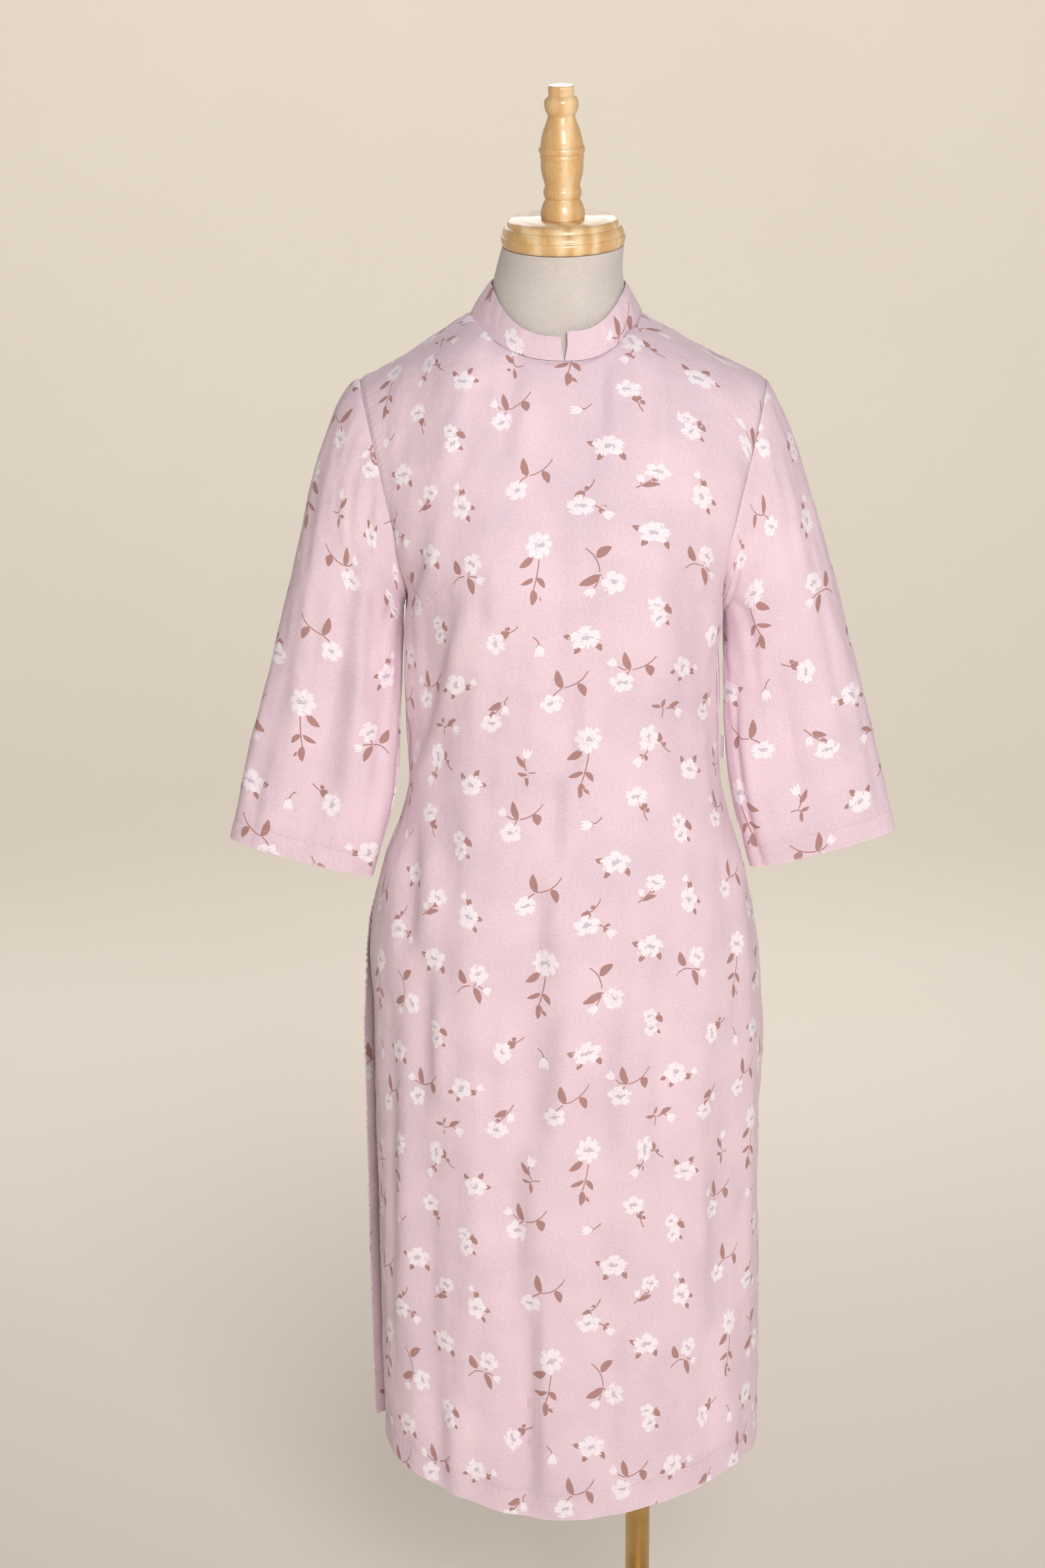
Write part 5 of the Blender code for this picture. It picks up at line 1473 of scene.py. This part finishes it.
def print_on(mesh, seams):
    """Gives each face the nearest bloom, leaf and stem, as places in their own measure, and
    each corner its distance from the nearest seam."""
    flat = np.zeros(len(mesh.loops) * 2, np.float32)
    mesh.uv_layers["Cloth"].data.foreach_get("uv", flat)
    flat = flat.reshape(-1, 2).astype(float)
    starts = np.zeros(len(mesh.polygons), np.int32)
    mesh.polygons.foreach_get("loop_start", starts)
    counts = np.zeros(len(mesh.polygons), np.int32)
    mesh.polygons.foreach_get("loop_total", counts)
    owner = np.repeat(np.arange(len(counts)), counts)
    middles = np.add.reduceat(flat, starts, axis=0) / counts[:, None]
    low, high = flat.min(0), flat.max(0)
    for kind, (name, measure) in enumerate(MARKS.items()):
        table = spread(kind, low, high)
        nearest = np.zeros(len(middles), int)
        for start in range(0, len(middles), FACES_AT_ONCE):
            some = middles[start : start + FACES_AT_ONCE]
            close = np.flatnonzero(within(table, some.min(0), some.max(0), LOOK_AROUND))
            outside = measure(some.T[:, :, None], table[close].T[:, None, :])[3]
            nearest[start : start + FACES_AT_ONCE] = close[np.argmin(outside, axis=1)]
        corner_vectors(mesh, name, measure(flat.T, table[nearest[owner]].T)[:3])
    far = np.full(len(flat), 1.0)
    for x0, y0, x1, y1 in seams:
        straight = (*draped(x0, y0), *draped(x1, y1), 0.0)
        along, beside, _, _ = in_stem(flat.T, straight)
        here = np.hypot(beside * STEM_HALF, np.maximum(along - 1, 0) * DART_FADE)
        far = np.minimum(far, here)
    corner_vectors(mesh, "Seam", (far, 0 * far, 0 * far))


def sheet_size(cut):
    """The flat width, length and area of a cut piece."""
    grid = cut.grid
    width = lengths(grid, 1)[:, -1].max()
    length = lengths(grid, 0)[-1].max()
    low, high = grid[1:, :-1], grid[:-1, 1:]  # of each four-sided face
    halves = [np.cross(low - corner, high - corner) for corner in (grid[:-1, :-1], grid[1:, 1:])]
    area = sum(np.linalg.norm(half, axis=2).sum() / 2 for half in halves)
    return float(width), float(length), float(area)


# ------------------------------------------------------------------ the form and its stand
NECK_ROWS, HIP_ROWS, PLATE_ROWS, BOARD_SIDES = 26, 46, 14, 160
NECK_LOOP_Y, NECK_LOOP_DEEP = 0.001, 0.066  # about the neckline's middle and half its depth


def under_cloth(front, across):
    """The form's side of the bodice: as far behind the cloth everywhere as a wall and a gap."""
    grid = past_neck(panel(front, across, BODICE_FINE, 4), across)
    facing = facing_of(grid) if front else -facing_of(grid)
    normals = seam_normals(across, grid, facing, front, ((0, -1), (-1, 1)))
    rows = (grid - (WALL + CLEAR) * normals)[: BODICE_FINE + 1]
    if not front:
        rows[:, [0, -1], 1] -= RIM_INSET * np.sin(np.linspace(0, np.pi, len(rows)))[:, None]
    return rows


def neck_rings(loop):
    """The neck, from the neckline's loop to a round end that leans forward."""
    cap = neck_place(0.0)
    level = CAP_PROFILE[0][1] - SEAM
    turns = np.arctan2(loop[:, 0] / NECK_HALF, (NECK_LOOP_Y - loop[:, 1]) / NECK_LOOP_DEEP)
    circle = np.array([
        cap @ Vector((NECK_TOP_RADIUS * math.sin(t), -NECK_TOP_RADIUS * math.cos(t), level))
        for t in turns
    ])
    steps = [Step(0.0, 0.0)] + [Step(up, toward) for up, toward in NECK_STEPS]
    rows = []
    for up in np.linspace(0, 1, NECK_ROWS):
        toward = float(curve(steps, "value", up))
        flat = mix(loop[:, :2], circle[:, :2], toward)
        flat[:, 0] -= NECK_ASIDE * math.sin(math.pi * up) * toward
        rows.append(np.concatenate([flat, mix(loop[:, 2:], circle[:, 2:], up)], 1))
    return rows


def neck_place(x):
    """The middle of the neck's top, on a form whose middle line is at x."""
    middle = Matrix.Translation((x + CAP_X, CAP_Y, CAP_TOP))
    return middle @ Matrix.Rotation(NECK_TILT, 4, "X") @ Matrix.Rotation(NECK_LEAN, 4, "Y")


def hip_rings(front, across, last):
    """The form below the bust line, eased into the bodice's last row."""
    rows = []
    for z in np.linspace(UNDERARM, TORSO_BOTTOM, HIP_ROWS + 1)[1:]:
        at = min(z, TORSO_RINGS[0].z)
        square, half = curve(TORSO_RINGS, "square", at), curve(TORSO_RINGS, "half", at)
        side = curve(TORSO_RINGS, "side", at)
        share = even_share(across, square)
        reach = curve(TORSO_RINGS, "front" if front else "back", at)
        y = mix(side, reach, squircle(share, square))
        if front:
            y = y - bust(half * share, z)
        ring = np.stack([half * share, y, z + 0 * across], -1)
        ease = smooth((UNDERARM - z) / (UNDERARM - TORSO_RINGS[0].z))
        start = last + np.array([0, 0, z - UNDERARM])
        rows.append(mix(start, ring, ease))
    return rows


def form_body(material):
    across = fine_columns(-1, 1)
    sides = {front: under_cloth(front, across) for front in (True, False)}
    points, faces = [], []

    def add(rows, tube=False):
        """Rows of points of the form. A tube's last row is closed."""
        start, count = len(points), len(rows[0])
        points.extend(np.array(rows).reshape(-1, 3).tolist())
        faces.extend(skin(len(rows), count, start, closed=tube))
        if tube:
            faces.append(ends_of(points, count)[1])

    for front, bodice_rows in sides.items():
        add(list(bodice_rows) + hip_rings(front, across, bodice_rows[-1]))
    for side, column in ((-1, 0), (1, -1)):
        loop = np.concatenate([sides[True][:, column], sides[False][1:-1][::-1, column]])
        middle = loop.mean(0)
        plate = [Step(1.0, 0.0)] + [Step(share, swell) for share, swell in ARMHOLE_PLATE]
        rows = []
        for share in np.linspace(1.0, ARMHOLE_PLATE[-1][0], PLATE_ROWS):
            swell = float(curve(plate, "value", share))
            rows.append(mix(middle, loop, share) + np.array([side * swell, 0, 0]))
        add(rows, tube=True)
    inside = np.abs(across) < NECK_SHARE + 1e-6
    loop = np.concatenate([sides[True][0][inside], sides[False][0][inside][::-1][1:-1]])
    add(neck_rings(loop), tube=True)

    mesh = bpy.data.meshes.new("knit_form")
    mesh.from_pydata((np.array(points) + FORM_MIDDLE).tolist(), [], faces)
    bm = bmesh.new()
    bm.from_mesh(mesh)
    bmesh.ops.remove_doubles(bm, verts=bm.verts, dist=2e-5)
    open_edges = [e for e in bm.edges if len(e.link_faces) == 1]
    bmesh.ops.contextual_create(bm, geom=open_edges)
    bm.to_mesh(mesh)
    bm.free()
    smooth_mesh(mesh, 50)
    mesh.materials.append(material)
    return new_object("knit_form", mesh)


def board_below(material):
    """The flat board that closes the form from below, its edges eased."""
    last = TORSO_RINGS[-1]
    square = last.square
    top, low = TORSO_BOTTOM - SEAM, TORSO_BOTTOM - SEAM - BOARD_THICK
    # (height, how far in from the form's edge)
    layers = ((top, 0.0022), (top - 0.0008, 0.0010), (low + 0.0015, 0.0010), (low, 0.0025))
    turns = np.linspace(0, 2 * np.pi, BOARD_SIDES, endpoint=False)
    points = []
    for z, inset in layers:
        for turn in turns:
            share, ahead = math.sin(turn), math.cos(turn)
            reach = (last.front + inset) if ahead > 0 else (last.back - inset)
            scale = (abs(share) ** square + abs(ahead) ** square) ** (-1 / square)
            x = (last.half - inset) * share * scale
            points.append((FORM_X + x, last.side + (reach - last.side) * abs(ahead) * scale, z))
    faces = ends_of(points, BOARD_SIDES) + skin(len(layers), BOARD_SIDES)
    return finished("plywood_board", points, faces, material)


def stand(material):
    board_low = TORSO_BOTTOM - SEAM - BOARD_THICK
    bore = POLE_RADIUS + SEAM
    arc = [(math.sin(t), math.cos(t)) for t in np.linspace(math.pi / 2, 0, 10)]
    base = [(BASE_RADIUS - 0.0012, 0.0), (BASE_RADIUS, 0.0012), (BASE_RADIUS, BASE_THICK * 0.45)]
    soft = BASE_THICK * 0.55
    base += [(BASE_RADIUS - 0.014 + 0.014 * s, BASE_THICK * 0.45 + soft * c) for s, c in arc[1:]]
    base += [(BASE_RADIUS * 0.6, BASE_THICK), (BASE_RADIUS * 0.2, BASE_THICK)]
    hub_low, round_by = BASE_THICK + SEAM, 0.004
    hub = [(bore, hub_low), (HUB_RADIUS, hub_low)]
    hub_top = hub_low + HUB_HEIGHT
    hub += [(HUB_RADIUS - round_by + round_by * s, hub_top - round_by + round_by * c) for s, c in arc]
    hub += [(bore, hub_top), (bore, hub_low)]
    low, high = BASE_THICK + SEAM, board_low - SEAM
    pole = [
        (POLE_RADIUS - 0.0010, low), (POLE_RADIUS - 0.0003, low + 0.0003), (POLE_RADIUS, low + 0.0010),
        (POLE_RADIUS, high - 0.0010), (POLE_RADIUS - 0.0010, high),
    ]
    flange = board_low - SEAM
    socket = [
        (bore, flange), (SOCKET_RADIUS + 0.0172, flange), (SOCKET_RADIUS + 0.018, flange - 0.0008),
        (SOCKET_RADIUS + 0.018, flange - 0.0032), (SOCKET_RADIUS + 0.0165, flange - 0.0040),
        (SOCKET_RADIUS * 0.68, flange - 0.0058), (SOCKET_RADIUS * 0.62, flange - 0.0080),
        (SOCKET_RADIUS * 0.60, flange - SOCKET_HEIGHT + 0.001),
        (SOCKET_RADIUS * 0.57, flange - SOCKET_HEIGHT), (bore, flange - SOCKET_HEIGHT), (bore, flange),
    ]
    return {
        "base": turned("round_base", base, 144, material),
        "base_hub": turned("pole_hub", hub, 72, material),
        "pole": turned("brass_pole", pole, 64, material),
        "pole_socket": turned("board_socket", socket, 72, material, sharp=25),
    }


def neck_top(material):
    place = neck_place(FORM_X)
    cap = rounded(CAP_PROFILE, 4)
    finial = rounded(FINIAL_PROFILE, 6)
    return {
        "neck_cap": turned("neck_lid", cap, 128, material, 50, place),
        "finial": turned("turned_finial", finial, 96, material, 60, place),
    }


# ------------------------------------------------------------------ the closure and label
LOOP_STEPS, CORD_SIDES = 72, 12
CORD_OFF = 0.0008  # between the collar and the loop's cord
TAB_LEAN, TAB_DROOP = 0.0100, 0.18  # how far back the label bends, and how steeply it hangs


def collar_frame(turn, up, side):
    """A place on the collar's outer side, with Z out of it and Y up it."""
    here = collar_point(np.array([turn]), up, side)[0]
    above = collar_point(np.array([turn]), up + 0.1, side)[0]
    beside = collar_point(np.array([turn - 0.05]), up, side)[0]
    up_way = Vector(above - here).normalized()
    out = Vector(beside - here).cross(up_way).normalized() * -1
    if out.y < 0:
        out = -out
    across = up_way.cross(out)
    turn_to = Matrix((across, up_way, out)).transposed().to_4x4()
    return Matrix.Translation(Vector(here) + Vector(FORM_MIDDLE)) @ turn_to


def shell_button(material):
    profile = [
        (0.0010, 0.0008), (0.0010, 0.0030), (0.0030, 0.0031), (0.0046, 0.0034), (0.0052, 0.0041),
        (0.0051, 0.0049), (0.0045, 0.0057), (0.0038, 0.0059), (0.0033, 0.0056), (0.0018, 0.0053),
        (0.0005, 0.0052),
    ]
    place = collar_frame(BUTTON_TURN, BUTTON_UP, 1)
    return turned("back_button", rounded(profile, 4), 48, material, 60, place)


def cord_loop(material):
    """A narrow ring of cord, round the button's shank and over the edge of the other half."""
    place = collar_frame(BUTTON_TURN, BUTTON_UP, 1)
    way = -1.0 if (place.to_3x3() @ Vector((1, 0, 0))).x > 0 else 1.0
    path = []
    for turn in np.linspace(0, 2 * np.pi, LOOP_STEPS, endpoint=False):
        reach = LOOP_REACH * smooth(math.cos(turn) * way * 3 + 0.5)
        path.append((LOOP_RADIUS * math.cos(turn) + way * reach, LOOP_RADIUS * math.sin(turn)))
    path = np.array(path)
    along = unit(np.roll(path, -1, 0) - np.roll(path, 1, 0))
    out = np.stack([along[:, 1], -along[:, 0]], -1)
    points = []
    for t in np.linspace(0, 2 * np.pi, CORD_SIDES, endpoint=False):
        flat = path + CORD_RADIUS * math.cos(t) * out
        level = CORD_OFF + CORD_RADIUS + CORD_RADIUS * math.sin(t)
        points += [(x, y, level) for x, y in flat]
    faces = skin(CORD_SIDES, LOOP_STEPS, ringlike=True)
    return finished("button_cord", points, faces, material, where=place)


def blank_tab(material):
    """A small blank ribbon, folded in two, that stands out of the side seam."""
    x = FORM_X + float(curve(FRONT_RINGS, "right", LABEL_Z)) + 4 * SEAM
    y = float(curve(FRONT_RINGS, "side", LABEL_Z))
    half = LABEL_THICK / 2
    steps = np.linspace(0, 1, 9)
    middle = [(x + s * (LABEL_WIDTH - half), y - TAB_LEAN * s**1.4) for s in steps]
    heading = unit(np.gradient(np.array(middle), axis=0))
    out = np.stack([heading[:, 1], -heading[:, 0]], -1)
    tip = math.atan2(heading[-1, 1], heading[-1, 0])
    outline = [tuple(np.array(m) + half * o) for m, o in zip(middle, out)]
    for t in np.linspace(-90, 90, 9)[1:-1]:
        turn = tip + math.radians(t)
        outline.append((middle[-1][0] + half * math.cos(turn), middle[-1][1] + half * math.sin(turn)))
    outline += [tuple(np.array(m) - half * o) for m, o in zip(middle[::-1], out[::-1])]
    count, points = len(outline), []
    levels = np.linspace(-0.5, 0.5, 12)
    for up in levels:
        z = LABEL_Z + up * LABEL_TALL
        points += [(px, py, z - TAB_DROOP * (px - x)) for px, py in outline]
    faces = ends_of(points, count) + skin(len(levels), count)
    return finished("blank_tab", points, faces, material, 60)


# ------------------------------------------------------------------ stitches
STITCH_OUT = 0.0002
STITCH_PITCH, STITCH_LENGTH, STITCH_RADIUS = 0.0032, 0.0024, 0.00026
STITCH_SEED = 7
STITCH_UNEVEN = (0.88, 1.12)
# How far a slit's row of stitches runs on above the slit, and how far above the hem it ends.
SLIT_ROW_PAST, SLIT_ROW_LOW = 0.012, HEM_FOLD * 0.4


def stitch_tree():
    """Turns lines into rows of short stitches."""
    tree = bpy.data.node_groups.new("stitch_rows", "GeometryNodeTree")
    face = tree.interface
    face.new_socket("Lines", in_out="INPUT", socket_type="NodeSocketGeometry")
    sizes = {"Pitch": STITCH_PITCH, "Length": STITCH_LENGTH, "Radius": STITCH_RADIUS}
    for label, value in sizes.items():
        face.new_socket(label, in_out="INPUT", socket_type="NodeSocketFloat").default_value = value
    seed = face.new_socket("Seed", in_out="INPUT", socket_type="NodeSocketInt")
    seed.default_value = STITCH_SEED
    face.new_socket("Thread", in_out="INPUT", socket_type="NodeSocketMaterial")
    face.new_socket("Stitches", in_out="OUTPUT", socket_type="NodeSocketGeometry")

    def add(kind, settings=None, **values):
        made = tree.nodes.new(kind)
        for key, value in (settings or {}).items():
            setattr(made, key, value)
        for key, value in values.items():
            socket = made.inputs[key.replace("_", " ")]
            if isinstance(value, bpy.types.NodeSocket):
                tree.links.new(value, socket)
            else:
                socket.default_value = value
        return made

    given = tree.nodes.new("NodeGroupInput").outputs
    line = add("GeometryNodeMeshToCurve", Mesh=given["Lines"]).outputs["Curve"]
    spaced = add("GeometryNodeResampleCurve", {"mode": "LENGTH"}, Curve=line, Length=given["Pitch"])
    bead = add("GeometryNodeMeshUVSphere", Segments=6, Rings=5, Radius=1.0).outputs["Mesh"]
    half = add("ShaderNodeMath", {"operation": "MULTIPLY"})
    tree.links.new(given["Length"], half.inputs[0])
    half.inputs[1].default_value = 0.5
    size = add("ShaderNodeCombineXYZ", X=given["Radius"], Y=given["Radius"], Z=half.outputs[0])
    uneven = add("FunctionNodeRandomValue", {"data_type": "FLOAT"}, Seed=given["Seed"])
    uneven.inputs[2].default_value, uneven.inputs[3].default_value = STITCH_UNEVEN
    scale = add("ShaderNodeVectorMath", {"operation": "SCALE"})
    tree.links.new(size.outputs[0], scale.inputs[0])
    tree.links.new(uneven.outputs[1], scale.inputs["Scale"])
    heading = add("GeometryNodeInputTangent").outputs[0]
    turn = add("FunctionNodeAlignRotationToVector", {"axis": "Z"}, Vector=heading).outputs[0]
    placed = add(
        "GeometryNodeInstanceOnPoints",
        Points=spaced.outputs[0], Instance=bead, Rotation=turn, Scale=scale.outputs[0],
    )
    real = add("GeometryNodeRealizeInstances", Geometry=placed.outputs[0])
    shaded = add("GeometryNodeSetShadeSmooth", Geometry=real.outputs[0])
    named = add("GeometryNodeSetMaterial", Geometry=shaded.outputs[0], Material=given["Thread"])
    tree.links.new(named.outputs[0], tree.nodes.new("NodeGroupOutput").inputs[0])
    return tree


def stitches(name, tree, lines, thread):
    """Rows of stitches along lines of points, as one plain mesh."""
    points, edges = [], []
    for line in lines:
        edges += [(len(points) + i, len(points) + i + 1) for i in range(len(line) - 1)]
        points += line.tolist()
    mesh = bpy.data.meshes.new(name + "_lines")
    mesh.from_pydata(points, edges, [])
    guide = new_object(name + "_lines", mesh)
    modifier = guide.modifiers.new("stitch_rows", "NODES")
    modifier.node_group = tree
    for item in tree.interface.items_tree:
        if item.in_out == "INPUT" and item.name == "Thread":
            modifier[item.identifier] = thread
    graph = bpy.context.evaluated_depsgraph_get()
    made = bpy.data.meshes.new_from_object(guide.evaluated_get(graph))
    guide.modifiers.clear()
    bpy.data.objects.remove(guide, do_unlink=True)
    made.name = name
    return new_object(name, made)


def sewn_on(cut):
    """Where stitches lie on a cut piece, their middles a little outside the cloth."""
    return cut.grid + (FORM_MIDDLE + STITCH_OUT * cut.normals)


def level_line(cut, distance):
    """A line across a cut piece at a distance above its hem."""
    to_hem, outer = cut.borders[..., 1], sewn_on(cut)
    line = []
    for c in range(outer.shape[1]):
        rising = to_hem[::-1, c]
        line.append([np.interp(distance, rising, outer[::-1, c, axis]) for axis in range(3)])
    return np.array(line)


def upright_line(cut, distance, side, first, last):
    """A line down a cut piece at a distance from one side edge, between two heights."""
    edge, order = (-1, slice(None, None, -1)) if side > 0 else (0, slice(None))
    outer = sewn_on(cut)
    line = []
    for r in range(outer.shape[0]):
        if last <= cut.grid[r, edge, 2] <= first:
            run = np.abs(cut.cloth[r, :, 0] - cut.cloth[r, edge, 0])[order]
            line.append([np.interp(distance, run, outer[r, order, axis]) for axis in range(3)])
    return np.array(line)


# ------------------------------------------------------------------ the studio
CAMERA_LENS, CAMERA_SENSOR = 66.58, 36.0  # millimetres, along the frame's height
CAMERA_DISTANCE, CAMERA_HEIGHT, CAMERA_TILT = 2.8, 1.51, 79.0
CAMERA_ASIDE = -0.119
Lamp = namedtuple("Lamp", "x y z aim_x aim_y aim_z wide tall watts colour")
LAMPS = (
    Lamp(0.5, -3.5, 2.2, -0.08, 0.0, 0.85, 1.3, 1.4, 89, "FFFCFA"),
    Lamp(3.0, -1.2, 1.9, -0.08, 0.0, 0.90, 1.2, 1.8, 6, "FFFDFB"),
    Lamp(-0.3, 2.5, 2.9, -0.08, 0.0, 0.95, 2.4, 1.4, 26, "FFFCFA"),
    Lamp(-0.1, 2.2, 4.2, -0.1, 6.2, 1.8, 4.0, 1.4, 125, "FFFBF6"),
    Lamp(-0.1, -2.2, 4.2, -0.1, -6.2, 2.0, 4.0, 1.4, 40, "FFFBF6"),
)
SKY, SKY_STRENGTH = "EFEEF0", 0.24
SWEEP_SIDES, BEND_STEPS = 128, 16
SWEEP_FLAT, SWEEP_BEND, SWEEP_TOP = 4.2, 2.6, 3.6


def camera():
    data = bpy.data.cameras.new("camera")
    data.lens, data.sensor_fit = CAMERA_LENS, "VERTICAL"
    data.sensor_height = data.sensor_width = CAMERA_SENSOR
    obj = new_object("camera", data)
    obj.location = (CAMERA_ASIDE, -CAMERA_DISTANCE, CAMERA_HEIGHT)
    obj.rotation_euler = (math.radians(CAMERA_TILT), 0, 0)
    bpy.context.scene.camera = obj


def sweep():
    """A pale floor that runs up all round into a low wall, with no corner."""
    turns = [2 * math.pi * i / SWEEP_SIDES for i in range(SWEEP_SIDES)]
    bends = [math.pi / 2 * i / BEND_STEPS for i in range(BEND_STEPS + 1)]
    rings = [(SWEEP_FLAT + SWEEP_BEND * math.sin(t), SWEEP_BEND * (1 - math.cos(t))) for t in bends]
    rings.append((SWEEP_FLAT + SWEEP_BEND, SWEEP_TOP))
    points = [(r * math.cos(t), r * math.sin(t), z) for r, z in rings for t in turns]
    faces = [ends_of(points, SWEEP_SIDES)[0]] + skin(len(rings), SWEEP_SIDES)
    mesh = bpy.data.meshes.new("studio_floor")
    mesh.from_pydata(points, [], faces)
    mesh.shade_smooth()
    mesh.materials.append(studio_floor())
    new_object("studio_floor", mesh)


def studio():
    sweep()
    for i, lamp in enumerate(LAMPS):
        data = bpy.data.lights.new(f"lamp_{i}", "AREA")
        data.shape, data.size, data.size_y = "RECTANGLE", lamp.wide, lamp.tall
        data.energy, data.color = lamp.watts, shade(lamp.colour)[:3]
        obj = new_object(f"lamp_{i}", data)
        obj.location = (lamp.x, lamp.y, lamp.z)
        aim = Vector((lamp.aim_x - lamp.x, lamp.aim_y - lamp.y, lamp.aim_z - lamp.z))
        obj.rotation_euler = aim.to_track_quat("-Z", "Y").to_euler()
    world = bpy.data.worlds.new("studio_air")
    world.use_nodes = True
    air = world.node_tree.nodes["Background"]
    air.inputs["Color"].default_value = shade(SKY)
    air.inputs["Strength"].default_value = SKY_STRENGTH
    bpy.context.scene.world = world
    bpy.context.scene.view_settings.view_transform = "Standard"


# ------------------------------------------------------------------ putting it together
def place(piece, slot, *nodes):
    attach(piece, "root")
    if nodes:
        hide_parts(*nodes)


def tunic():
    cloths = (blossom_cloth("blossom_cloth", 1.0), blossom_cloth("blossom_cloth_back", 0.45))
    thread, tree = sewing_thread(), stitch_tree()
    front = fine_panel(True)
    backs = {side: fine_panel(False, side) for side in (1, -1)}
    sleeves = {side: fine_sleeve(side) for side in (1, -1)}
    collars = {side: fine_collar(side) for side in (1, -1)}
    label = {1: "left", -1: "right"}

    def add(name, node, cut, closed=False, seams=(), rows=(), held="draped"):
        piece = shell(name, cut, cloths, closed)
        print_on(piece.data, seams)
        place(piece, "blossom_cloth", node)
        if rows:
            sewn = stitches(name + "_stitches", tree, rows, thread)
            place(sewn, "blossom_cloth")
        width, length, area = sheet_size(cut)
        return piece

    def slit_rows(cut, side):
        low = cut.grid[-1, 0 if side < 0 else -1, 2] + SLIT_ROW_LOW
        return upright_line(cut, SLIT_FOLD, side, SLIT_TOP + SLIT_ROW_PAST, low)

    front_rows = [level_line(front, HEM_FOLD)] + [slit_rows(front, side) for side in (1, -1)]
    add("front_cloth", "front_panel", front, seams=DARTS, rows=front_rows)
    for side in (1, -1):
        back_rows = [level_line(backs[side], HEM_FOLD), slit_rows(backs[side], side)]
        add(f"back_{label[side]}_cloth", f"back_{label[side]}", backs[side], rows=back_rows)
        cuff = [level_line(sleeves[side], CUFF_FOLD)]
        name = f"sleeve_{label[side]}"
        add(name + "_cloth", name, sleeves[side], closed=True, rows=cuff, held="hung")
        name = f"collar_{label[side]}"
        add(name + "_cloth", name, collars[side])


def main():
    camera()
    studio()
    form = form_body(form_jersey())
    place(form, "form_jersey", "torso")
    tunic()
    for node, piece in neck_top(turned_wood()).items():
        place(piece, "turned_wood", node)
    for node, piece in stand(pole_brass()).items():
        place(piece, "pole_brass", node)
    place(board_below(board_wood()), "board_wood", "bottom_board")
    place(shell_button(button_shell()), "button_shell", "button")
    place(cord_loop(loop_cord()), "blossom_cloth", "button_loop")
    tab = blank_tab(label_satin())
    place(tab, "label_satin", "label")


main()
